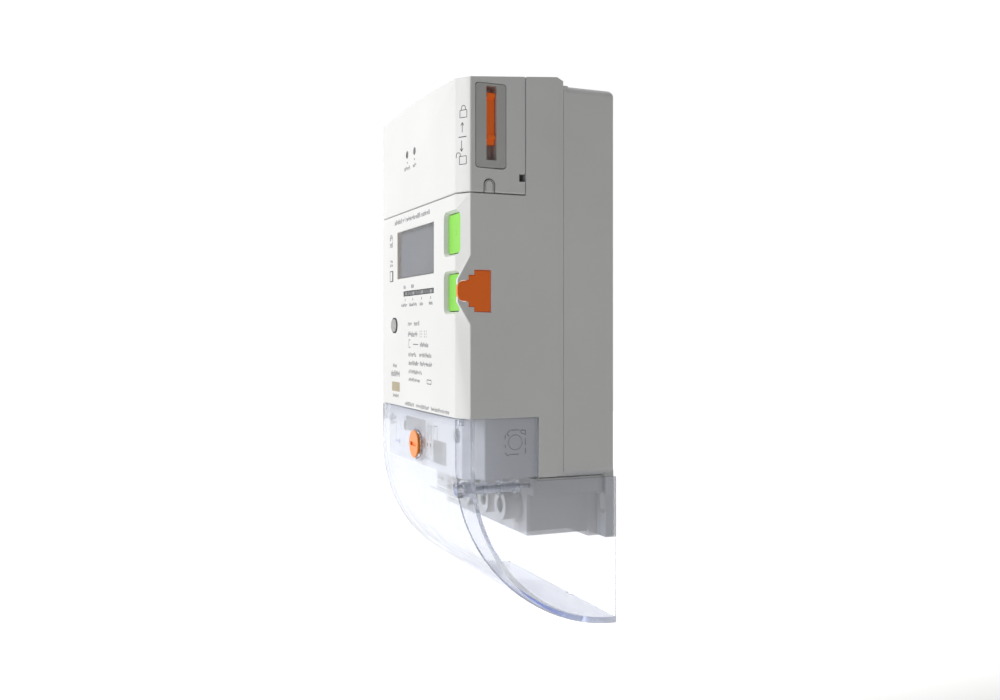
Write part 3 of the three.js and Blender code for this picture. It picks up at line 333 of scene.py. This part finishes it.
def block(bm, low, high, edge=0.0, place=None):
    """A box from low to high, its edges rounded."""
    centre = (Vector(low) + Vector(high)) / 2 * MM
    size = (Vector(high) - Vector(low)) * MM
    shape = (place or Matrix()) @ Matrix.Translation(centre) @ Matrix.Diagonal((*size, 1))
    corners = bmesh.ops.create_cube(bm, size=1, matrix=shape)["verts"]
    if edge:
        edges = list({e for v in corners for e in v.link_edges})
        bmesh.ops.bevel(bm, geom=edges, offset=edge * MM, affect="EDGES", segments=BEND_STEPS,
                        profile=0.5, material=-1, clamp_overlap=True)


def turned(bm, profile, place, steps):
    """A round piece: (radius, height) pairs turned about the local Z axis of place."""
    spots = [place @ (Vector((radius, 0, height)) * MM) for radius, height in profile]
    chain, edges = [bmesh.ops.create_vert(bm, co=spots[0])["vert"][0]], []
    for spot in spots[1:]:
        grown = bmesh.ops.extrude_vert_indiv(bm, verts=[chain[-1]])
        tip = grown["verts"][0]
        bmesh.ops.translate(bm, vec=spot - tip.co, verts=[tip])
        chain.append(tip)
        edges += grown["edges"]
    axis = place.to_3x3() @ Vector((0, 0, 1))
    bmesh.ops.spin(bm, geom=chain + edges, cent=place.translation, axis=axis, angle=2 * math.pi,
                   steps=steps, use_merge=True)
    bmesh.ops.remove_doubles(bm, verts=bm.verts[:], dist=HAIR)


def finish_piece(name, bm, body, material, stands_for=(), smooth=35):
    """Links the mesh as a piece that rides on body, shaded smooth across edges under smooth degrees."""
    bmesh.ops.recalc_face_normals(bm, faces=bm.faces[:])
    mesh = bpy.data.meshes.new(name)
    bm.to_mesh(mesh)
    bm.free()
    mesh.polygons.foreach_set("use_smooth", [True] * len(mesh.polygons))
    mesh.set_sharp_from_angle(angle=math.radians(smooth))
    mesh.materials.append(material)
    piece = bpy.data.objects.new(name, mesh)
    bpy.context.scene.collection.objects.link(piece)
    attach(piece, body)
    if stands_for:
        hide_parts(*stands_for)
    return piece


def merged_copy(node):
    """A mesh copy of a CAD node with its split corners joined and its flat faces whole."""
    bm = bmesh.new()
    bm.from_mesh(NODES[node].data)
    bmesh.ops.remove_doubles(bm, verts=bm.verts[:], dist=WELD)
    bmesh.ops.dissolve_limit(bm, angle_limit=ONE_PLANE, verts=bm.verts[:], edges=bm.edges[:])
    return bm


def soften(bm, radius, where=None):
    """Rounds the sharp edges that are long enough to take the radius."""
    edges = [e for e in bm.edges if len(e.link_faces) == 2 and e.calc_face_angle(0) > SHARP
             and e.calc_length() > SHORTEST and (where is None or where(e))]
    bmesh.ops.bevel(bm, geom=edges, offset=radius * MM, affect="EDGES", segments=BEND_STEPS, profile=0.5,
                    material=-1, clamp_overlap=False)


def keep_flats(piece):
    """Shades large flat faces as flat right up to their rounded edges."""
    even = piece.modifiers.new("flat faces stay flat", "WEIGHTED_NORMAL")
    even.keep_sharp = True


def softened(node, slot, material, radius, where=None):
    """Stands a copy with rounded edges in for a CAD node."""
    bm = merged_copy(node)
    soften(bm, radius, where)
    piece = finish_piece(node + "_moulding", bm, BODY_OF[node], material, [node], smooth=25)
    keep_flats(piece)


# ---------- finishes of the pieces kept as they come ----------
KEPT = {
    "case_gasket": ("seal_rubber", seal_rubber),
    "module_board": ("circuit_board", board_laminate),
    "module_radio_can": ("can", tinned_can),
    "module_header": ("dark_plastic", black_plastic),
    "module_socket": ("dark_plastic", black_plastic),
    "display_frame": ("display_plastic", frame_plastic_painted_glow),
    "display_panel": ("display_cell", display_glass),
    "button_switch_upper": ("dark_plastic", black_plastic),
    "button_switch_lower": ("dark_plastic", black_plastic),
    "main_board": ("circuit_board", board_laminate),
    "backup_battery": ("battery_sleeve", sleeve_grey),
    "buzzer": ("dark_plastic", black_plastic),
    "latching_relay": ("dark_plastic", black_plastic),
    "busbar_line_in": ("copper", rolled_copper),
    "busbar_line_out": ("copper", rolled_copper),
    "neutral_link": ("copper", rolled_copper),
    "current_shunt": ("shunt_alloy", shunt_metal),
    "supply_transformer": ("coil_tape", coil_tape),
    "supply_capacitor": ("capacitor_sleeve", sleeve_blue),
    "tamper_plunger": ("dark_plastic", black_plastic),
    "tamper_switch": ("dark_plastic", black_plastic),
    "display_window": ("display_glass", display_pane),
    "indicator_window": ("lamp_window", lamp_strip),
    "pulse_lens": ("lens", pulse_clear),
    "module_light_pipe_1": ("lens", light_guide),
    "module_light_pipe_2": ("lens", light_guide),
    "auxiliary_connector": ("grey_plastic", block_plastic),
    "cover_screw": ("cover_screw_steel", pale_screw_steel),
}
for number in range(1, 5):
    KEPT[f"terminal_clamp_{number}"] = ("brass", turned_brass)
    KEPT[f"terminal_screw_{number}"] = ("steel", plated_steel)
    KEPT[f"board_screw_{number}"] = ("steel", plated_steel)
for place in ("upper_left", "upper_right", "lower_left", "lower_right"):
    KEPT[f"case_screw_{place}"] = ("steel", plated_steel)
for node, (slot, material) in KEPT.items():
    NODES[node].data.materials.clear()
    NODES[node].data.materials.append(material)


# ---------- mouldings with rounded edges ----------
# the button pockets, whose edges stay crisp: their walls are too short and thin to take the radius
POCKET_LEFT, POCKET_RIGHT = 42 * MM, 60 * MM
POCKET_FOOT, POCKET_TOP = -18 * MM, 34 * MM
LONG_EDGE = 4 * MM
CORNER = math.radians(35)


def outer_corner(edge):
    """True for the long outer edges of the case, away from the pockets and the cut-outs."""
    first, second = (v.co for v in edge.verts)
    in_pocket = (POCKET_LEFT < max(first.x, second.x) < POCKET_RIGHT
                 and max(first.z, second.z) > POCKET_FOOT and min(first.z, second.z) < POCKET_TOP)
    return edge.calc_length() > LONG_EDGE and edge.calc_face_angle(0) > CORNER and not in_pocket


SOFT = {  # node: slot, material, radius of its edges, which of them are rounded
    "front_cover": ("case_plastic", white_abs, 0.35, outer_corner),
    "base_housing": ("case_plastic", white_abs, 0.35, outer_corner),
    "module_cover": ("case_plastic", white_abs, 0.5, outer_corner),
    "module_lock_guide": ("grey_plastic", grey_plastic, 0.2),
    "module_lock_slider": ("orange_plastic", orange_plastic, 0.15),
    "button_lock_plug": ("orange_plastic", orange_plastic, 0.3),
    "button_upper": ("green_button", green_plastic, 0.6),
    "button_lower": ("green_button", green_plastic, 0.6),
    "terminal_block": ("grey_plastic", block_plastic, 0.25),
}
for node, finish in SOFT.items():
    softened(node, *finish)


def make_clear_cover():
    """The clear cover with its facets joined, so that light runs evenly round its curve."""
    piece = finish_piece("terminal_cover_clear", merged_copy("terminal_cover"), "clear_cover",
                         clear_cover, ["terminal_cover"], smooth=12)
    keep_flats(piece)


make_clear_cover()


# ---------- seal screw ----------
DISC = [(0, 0), (6.6, 0), (6.95, 0.25), (6.95, 0.8), (6.6, 1.05)]
CONE = [(5.9, 1.3), (4.2, 4.2), (2.1, 4.45)]
STEM_RADIUS = 2.1
SLOT_REACH = 4.6  # half its length
SLOT_HALF = 0.95  # half its width
SLOT_DEPTH = 0.9


def make_seal_screw():
    """A thin slotted disc on a cone, in the clear cup."""
    low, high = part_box("seal_screw")
    centre = ((low[0] + high[0]) / 2, low[1], (low[2] + high[2]) / 2)
    place = Matrix.Translation(centre) @ Matrix.Rotation(-math.pi / 2, 4, "X")
    reach = (high[1] - low[1]) / MM
    bm = bmesh.new()
    turned(bm, DISC + CONE + [(STEM_RADIUS, reach), (0, reach)], place, 56)
    for side in (-1, 1):
        for across, half in ((Vector((1, 0, 0)), SLOT_REACH), (Vector((0, 0, 1)), SLOT_HALF)):
            bmesh.ops.bisect_plane(bm, geom=bm.verts[:] + bm.edges[:] + bm.faces[:], dist=HAIR,
                                   plane_co=Vector(centre) + across * side * half * MM, plane_no=across)
    slot = []
    for face in bm.faces:
        off = (face.calc_center_median() - Vector(centre)) / MM
        on_front = abs(off.y) < 0.01
        if on_front and abs(off.x) < SLOT_REACH and abs(off.z) < SLOT_HALF:
            slot.append(face)
    grown = bmesh.ops.extrude_face_region(bm, geom=slot)["geom"]
    bmesh.ops.delete(bm, geom=slot, context="FACES")
    floor_corners = [g for g in grown if isinstance(g, bmesh.types.BMVert)]
    bmesh.ops.translate(bm, vec=(0, SLOT_DEPTH * MM, 0), verts=floor_corners)
    finish_piece("seal_screw_slotted", bm, "seal_turn", screw_plastic, ["seal_screw"])


make_seal_screw()


# ---------- printing ----------
INK_PROUD = 0.03
INK_SUNK = 0.02
LABEL_PROUD = 0.1
LABEL_INK_PROUD = 0.15
LINE = 0.3
FINE_LINE = 0.22
UPRIGHT = 0.34  # width of an upright stroke in a stand-in word
BAR_TALL, BAR_LONG = 0.25, 0.5
BAR_CHANCE = 0.55
DICE = random.Random(7)


def flat(x, y, turn=0.0):
    """An upright face to print on: it starts at (x, y) and runs turn degrees round from the front."""
    return Matrix.Translation((x * MM, y * MM, 0)) @ Matrix.Rotation(math.radians(turn), 4, "Z")


def patch(bm, face, x0, z0, x1, z1, proud=INK_PROUD):
    """A filled rectangle."""
    block(bm, (x0, -proud, z0), (x1, INK_SUNK, z1), place=face)


def stroke(bm, face, start, end, wide=LINE):
    """A straight line of ink."""
    (x0, z0), (x1, z1) = start, end
    long = math.hypot(x1 - x0, z1 - z0)
    middle = Matrix.Translation(((x0 + x1) / 2 * MM, 0, (z0 + z1) / 2 * MM))
    lean = Matrix.Rotation(-math.atan2(z1 - z0, x1 - x0), 4, "Y")
    patch(bm, face @ middle @ lean, -long / 2, -wide / 2, long / 2, wide / 2)


def outline(bm, face, points, wide=LINE, closed=False):
    """Strokes from point to point."""
    ends = points[1:] + points[:1] if closed else points[1:]
    for start, end in zip(points, ends):
        stroke(bm, face, start, end, wide)


def frame_line(bm, face, x0, z0, x1, z1, wide=LINE):
    """An open rectangle."""
    outline(bm, face, [(x0, z0), (x1, z0), (x1, z1), (x0, z1)], wide, closed=True)


def arc(bm, face, x, z, radius, start, end, wide=LINE, steps=10):
    """Part of a ring, from start to end degrees."""
    turns = [math.radians(start + (end - start) * i / steps) for i in range(steps + 1)]
    outline(bm, face, [(x + radius * math.cos(t), z + radius * math.sin(t)) for t in turns], wide)


def word(bm, face, x0, x1, foot, tall):
    """A stand-in for a printed word: uneven upright strokes and short bars, no letters."""
    x = x0
    while x < x1 - UPRIGHT:
        low = DICE.choice((0, 0, 0, 0.3)) * tall
        high = DICE.choice((0.7, 0.7, 1.0)) * tall
        patch(bm, face, x, foot + low, x + UPRIGHT, foot + high)
        if DICE.random() < BAR_CHANCE:
            level = foot + DICE.choice((low, (low + high) / 2, high - BAR_TALL))
            patch(bm, face, x + UPRIGHT, level, min(x + UPRIGHT + BAR_LONG, x1), level + BAR_TALL)
        x += UPRIGHT + DICE.uniform(0.4, 0.7)


def words(bm, face, lines):
    """Lines of stand-in words: each has its foot, its height and the span of each word."""
    for foot, tall, *spans in lines:
        for x0, x1 in spans:
            word(bm, face, x0, x1, foot, tall)


# the faces that carry print, and the lamps' places along the strip
FRONT_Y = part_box("module_cover")[0][1] / MM
FRONT = flat(0, FRONT_Y)
CHAMFER = flat(57.6, FRONT_Y, math.degrees(math.atan2(4.5, 7.4)))
RECESS = flat(0, -73.5)
RECESS_SIDE = flat(62, 0, 90)
CASE_SIDE = flat(65, 0, 90)
LAMP_PLACES = (-17, -4.3, 9.9, 23.6)

# what is printed on the front: each line's foot and height, and where its words start and end
TITLE = [(33.3, 2.4, (-35.2, -22.5), (-21.3, -17.6), (-16.2, 8.2), (9.6, 22.6))]
DISPLAY_MARKS = [
    (25.7, 3.2, (-44.5, -38.9)),
    (22.0, 3.2, (-44.3, -38.8)),
    (13.8, 1.4, (-43.5, -39.6)),
    (11.5, 1.8, (-44.2, -39.0)),
]
LAMP_NAMES = [
    (-1.2, 2.4, (-19.6, -16.3), (-6.8, -2.7)),
    (-10.4, 1.7, (-23.9, -13.1), (-9.9, 2.4), (6.9, 12.2), (20.8, 27.3)),
]
DATA_LINES = [
    (-20.3, 2.3, (-12.1, -5.8), (-2.3, 6.4)),
    (-25.9, 2.7, (-12.1, 3.4)),
    (-30.9, 2.4, (7.3, 19.8)),
    (-35.9, 2.2, (-11.4, 1.4), (6.4, 24.5)),
    (-40.3, 2.2, (-11, 5.4), (7.3, 25.4)),
    (-44.6, 2.0, (-11, 10.3)),
    (-48.5, 1.8, (-11, 7.3)),
]
LABEL_LINES = [
    (-42.3, 1.8, (-38.6, -31.8)),
    (-47.0, 3.0, (-42.1, -26.1)),
    (-58.0, 1.9, (-38.6, -28.4)),
]
FOOT_LINE = [(-61.2, 1.9, (-17.4, -2), (1, 21), (24, 49.9))]


def print_front():
    """Title, display marks, lamp marks and the block of data lines."""
    bm = bmesh.new()
    words(bm, FRONT, TITLE + DISPLAY_MARKS + LAMP_NAMES + DATA_LINES + LABEL_LINES + FOOT_LINE)
    # a card sign to the left of the display
    frame_line(bm, FRONT, -44.2, 3.7, -38.6, 9.1, 0.5)
    patch(bm, FRONT, -40.2, 3.9, -38.8, 8.9)
    # a tick under each lamp
    for x in LAMP_PLACES:
        patch(bm, FRONT, x - 0.3, -7.6, x + 0.3, -6.3)
    # two dotted squares, a bracket, a dash and a small frame among the data lines
    for x in (7.3, 14.1):
        for z in (-26.2, -24.9, -23.6):
            patch(bm, FRONT, x, z, x + 0.4, z + 0.8)
            patch(bm, FRONT, x + 2.6, z, x + 3.0, z + 0.8)
    outline(bm, FRONT, [(-8.2, -27.5), (-10.8, -27.5), (-10.8, -31.3), (-8.2, -31.3)], 0.35)
    patch(bm, FRONT, -3.7, -29.9, 4.4, -29.5)
    frame_line(bm, FRONT, 18.2, -48.6, 24.4, -46.7, 0.4)
    finish_piece("front_printing", bm, "case", dark_ink)
    bm = bmesh.new()
    patch(bm, FRONT, -40.5, -54.9, -26.6, -50, 0.05)
    finish_piece("front_beige_label", bm, "case", beige_label)


def print_module():
    """Lamp names on the module's front, padlocks and arrows on its right chamfer."""
    bm = bmesh.new()
    for x in (-13.5, -1.7):
        patch(bm, FRONT, x - 0.45, 63.0, x + 0.45, 63.9)
    words(bm, FRONT, [(59.5, 2.0, (-18.5, -8.9), (-3.7, 1.4))])
    # shut padlock
    frame_line(bm, CHAMFER, 2.7, 72.0, 6.6, 75.3)
    for x in (3.5, 5.8):
        stroke(bm, CHAMFER, (x, 75.3), (x, 76.2))
    arc(bm, CHAMFER, 4.65, 76.2, 1.15, 0, 180)
    # arrows up and down, a bar between them
    for x, tail, tip in ((4.0, 65.4, 69.8), (3.6, 61.8, 57.0)):
        back = math.copysign(1.3, tail - tip)
        stroke(bm, CHAMFER, (x, min(tail, tip)), (x, max(tail, tip)))
        for side in (-0.8, 0.8):
            stroke(bm, CHAMFER, (x, tip), (x + side, tip + back))
    patch(bm, CHAMFER, 2.0, 63.2, 6.3, 63.6)
    # open padlock, its shackle swung to the left
    frame_line(bm, CHAMFER, 2.4, 51.2, 6.3, 54.8)
    stroke(bm, CHAMFER, (2.9, 54.8), (2.9, 55.4))
    arc(bm, CHAMFER, 1.75, 55.4, 1.15, 0, 180)
    stroke(bm, CHAMFER, (0.6, 55.4), (0.6, 54.3))
    finish_piece("module_printing", bm, "comms_module", dark_ink)


def print_recess():
    """Wiring label, its wires and numerals, and small marks under the clear cover."""
    bm = bmesh.new()
    patch(bm, RECESS, -25.0, -74.6, 6.8, -67.2, LABEL_PROUD)
    patch(bm, RECESS, 18.7, -86.4, 37.0, -75.6, LABEL_PROUD)
    finish_piece("wiring_label_grey", bm, "case", grey_label)
    bm = bmesh.new()
    patch(bm, RECESS, 6.9, -76.8, 18.6, -67.2, LABEL_PROUD)
    finish_piece("wiring_label_pale", bm, "case", pale_label)
    bm = bmesh.new()
    for x, foot, top in ((10.7, -76.6, -68.4), (13.4, -74.0, -68.4), (15.5, -76.6, -69.2)):
        patch(bm, RECESS, x - 0.35, foot, x + 0.35, top, LABEL_INK_PROUD)
    outline(bm, RECESS, [(19.7, -72.5), (19.7, -69.0), (23.9, -69.0), (23.9, -75.2)], 0.6)
    for x in (9.6, 14.5, 19.2, 23.4):
        patch(bm, RECESS, x - 0.8, -79.8, x + 0.8, -78.0, LABEL_INK_PROUD)
    words(bm, RECESS, [(-86.2, 1.3, (5.2, 8.0), (10.1, 13.8))])
    # small padlock and its leader at the left
    frame_line(bm, RECESS, -47.0, -72.6, -43.4, -70.2, 0.6)
    arc(bm, RECESS, -45.2, -70.2, 1.1, 0, 180, 0.6)
    outline(bm, RECESS, [(-41.5, -71.0), (-43.0, -76.0), (-43.6, -81.6)], 0.5)
    finish_piece("recess_marks", bm, "case", dark_ink)
    # blue: two short lines on the label, and the arrow that the leader ends in
    bm = bmesh.new()
    words(bm, RECESS, [(-84.0, 1.2, (24, 33)), (-86.6, 1.2, (24, 33))])
    outline(bm, RECESS, [(-43.4, -82.0), (-36, -82.0)], 0.8)
    outline(bm, RECESS, [(-38.2, -80.6), (-36, -82.0), (-38.2, -83.4)], 0.8)
    finish_piece("recess_marks_blue", bm, "case", blue_ink)


def engrave_side():
    """A square with broken sides round a ring, on the recess's right side."""
    half = LINE / 2
    bm = bmesh.new()
    for z in (-79.0, -68.0):
        patch(bm, RECESS_SIDE, -53.6, z - half, -49.6, z + half)
    for y, foot, top in ((-46.4, -78.8, -76.2), (-46.4, -75.0, -71.8), (-46.4, -70.6, -68.2),
                         (-56.4, -76.0, -74.4), (-56.4, -72.0, -70.0)):
        patch(bm, RECESS_SIDE, y - half, foot, y + half, top)
    for corner in ([(-48.8, -68.2), (-46.5, -68.2)],
                   [(-49.0, -68.4), (-48.2, -69.6), (-46.8, -70.0)],
                   [(-54.0, -79.0), (-55.2, -79.6), (-56.4, -78.2)],
                   [(-54.0, -68.0), (-55.6, -69.6), (-54.4, -70.8)]):
        outline(bm, RECESS_SIDE, corner)
    arc(bm, RECESS_SIDE, -51.4, -73.6, 3.4, 0, 360, FINE_LINE, 28)
    finish_piece("side_engraving", bm, "case", grey_ink)


print_front()
print_module()
print_recess()
engrave_side()


# ---------- small pieces of the front and sides ----------
LAMP_HALF = 1.9
LAMP_FOOT, LAMP_TOP = -4.6, -2.9


def make_indicator_lamps():
    """Four small lamp domes, standing a hair proud of the strip; their pale tone is a painted highlight
    on each lamp.
    """
    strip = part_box("indicator_window")[0][1] / MM
    bm = bmesh.new()
    for x in LAMP_PLACES:
        block(bm, (x - LAMP_HALF, strip - 0.12, LAMP_FOOT), (x + LAMP_HALF, strip + 0.05, LAMP_TOP), 0.08)
    finish_piece("indicator_lamps", bm, "case", lamp_dome_painted_highlight)


def make_display_edge():
    """Beige lining of the opening and the black seal of the display, seen through the pane."""
    low, high = (Vector(corner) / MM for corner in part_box("display_panel"))
    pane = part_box("display_window")[0][1] / MM
    edge = 0.05
    lining, front, back = low.y - 1.1, low.y - 0.9, low.y - 0.35
    bm = bmesh.new()
    # the beige lining carries the frame plastic's painted glow
    block(bm, (low.x - 0.2, pane + 0.2, low.z), (low.x + 0.25, lining, high.z), edge)
    finish_piece("display_lining", bm, "case", frame_plastic_painted_glow)
    # the seal's left side, top, right side and foot
    bm = bmesh.new()
    block(bm, (low.x, lining, low.z), (low.x + 0.9, back, high.z), edge)
    block(bm, (low.x, front, high.z - 1.1), (high.x, back, high.z), edge)
    block(bm, (high.x - 0.4, front, low.z), (high.x, back, high.z), edge)
    block(bm, (low.x, front, low.z), (high.x, back, low.z + 0.4), edge)
    finish_piece("display_seal", bm, "case", black_plastic)


BUTTON_X = 53.5
PIP = [(0, -0.1), (1.3, -0.1), (1.2, 0.05), (0.8, 0.14), (0, 0.18)]


def make_button_pips():
    """A small raised dot to feel for on each button."""
    for level, body in (("upper", "upper_button"), ("lower", "lower_button")):
        low, high = (Vector(corner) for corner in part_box(f"button_{level}"))
        spot = Vector((BUTTON_X * MM, low.y, (low.z + high.z) / 2))
        bm = bmesh.new()
        turned(bm, PIP, Matrix.Translation(spot) @ Matrix.Rotation(math.pi / 2, 4, "X"), 20)
        finish_piece(f"button_pip_{level}", bm, body, green_plastic)


LENS_X, LENS_Z = -36, -20
RIM_RADIUS, RIM_WIDE = 3.7, 0.9


def make_pulse_ring():
    """The dark rim round the pulse lens."""
    bm = bmesh.new()
    for side, start in ((-1, 90), (1, -90)):
        arc(bm, FRONT, LENS_X + side * 1.4, LENS_Z, RIM_RADIUS, start, start + 180, RIM_WIDE, 14)
    for z in (LENS_Z - RIM_RADIUS, LENS_Z + RIM_RADIUS):
        stroke(bm, FRONT, (LENS_X - 1.5, z), (LENS_X + 1.5, z), RIM_WIDE)
    finish_piece("pulse_lens_rim", bm, "case", black_plastic)


SNAP_Y = -64.95
SNAP_FOOT, SNAP_SPRING = 39.4, 42.25
SNAP_RADIUS = 1.75


def mark_snap_tab():
    """The second line inside the module's arched snap tab."""
    bm = bmesh.new()
    arc(bm, CASE_SIDE, SNAP_Y, SNAP_SPRING, SNAP_RADIUS, 0, 180, FINE_LINE, 12)
    for y in (SNAP_Y - SNAP_RADIUS, SNAP_Y + SNAP_RADIUS):
        stroke(bm, CASE_SIDE, (y, SNAP_FOOT), (y, SNAP_SPRING), FINE_LINE)
    finish_piece("module_snap_groove", bm, "comms_module", dark_ink)


make_indicator_lamps()
make_display_edge()
make_button_pips()
make_pulse_ring()
mark_snap_tab()


# ---------- studio ----------
FLOOR_Z = -0.6
FLOOR_HALF = 6


def make_floor():
    """A pale matt floor, lit up far to the left so that it meets the white wall there."""
    bm = bmesh.new()
    bmesh.ops.create_grid(bm, x_segments=2, y_segments=2, size=FLOOR_HALF,
                          matrix=Matrix.Translation((0, 0, FLOOR_Z)))
    mesh = bpy.data.meshes.new("floor")
    bm.to_mesh(mesh)
    bm.free()
    material, tree, place = start_material("pale floor")
    tone = tint(tree, between(tree, speckle(tree, place, 400, 2), 0, 1), "#E4E4E3", "#E8E8E7")
    sideways = add(tree, "SeparateXYZ", {"Vector": place}).outputs["X"]
    lit = add(tree, "MapRange", {"Value": sideways, "From Min": -0.45, "From Max": -0.95,
                                 "To Min": 0.0, "To Max": 0.8}).outputs[0]
    skin = add(tree, "BsdfPrincipled", {"Base Color": tone, "Roughness": 0.9,
                                        "Emission Color": (1, 1, 1, 1), "Emission Strength": lit})
    output(tree, skin.outputs[0])
    mesh.materials.append(material)
    floor = bpy.data.objects.new("floor", mesh)
    bpy.context.scene.collection.objects.link(floor)


SEEN_WALL = 1.02  # the wall itself is pure white
DIM_ROOM = 0.2
THROUGH_CLEAR = 0.5  # what the clear cover bends into view is a little dimmer


def make_world():
    """White wall to the left and behind, a dimmer room to the right."""
    world = bpy.data.worlds.new("studio")
    world.use_nodes = True
    tree = world.node_tree
    tree.nodes.clear()
    way = add(tree, "TexCoord").outputs["Generated"]
    sideways = add(tree, "SeparateXYZ", {"Vector": way}).outputs["X"]
    level = add(tree, "MapRange", {"Value": sideways, "From Min": -0.45, "From Max": 0.35,
                                   "To Min": SEEN_WALL, "To Max": DIM_ROOM},
                interpolation_type="SMOOTHSTEP").outputs[0]
    path = add(tree, "LightPath").outputs
    through_clear = add(tree, "MapRange", {"Value": path["Is Transmission Ray"], "To Min": level,
                                           "To Max": THROUGH_CLEAR}).outputs[0]
    seen = add(tree, "MapRange", {"Value": path["Is Camera Ray"], "To Min": through_clear,
                                  "To Max": SEEN_WALL}).outputs[0]
    glow = add(tree, "Background", {"Color": (1, 1, 1, 1), "Strength": seen})
    add(tree, "OutputWorld", {"Surface": glow.outputs[0]})
    bpy.context.scene.world = world


def make_light(name, place, aim, size, power):
    """A white panel of light, turned towards aim."""
    data = bpy.data.lights.new(name, "AREA")
    data.shape = "RECTANGLE"
    data.size, data.size_y = size
    data.energy = power
    light = bpy.data.objects.new(name, data)
    light.location = place
    light.rotation_mode = "QUATERNION"
    light.rotation_quaternion = (Vector(aim) - Vector(place)).to_track_quat("-Z", "Y")
    bpy.context.scene.collection.objects.link(light)


make_floor()
make_world()
make_light("key softbox", (-0.2, -1.3, 0.5), (0, -0.05, 0), (0.5, 0.9), 8.4)
bpy.context.scene.view_settings.view_transform = "Standard"
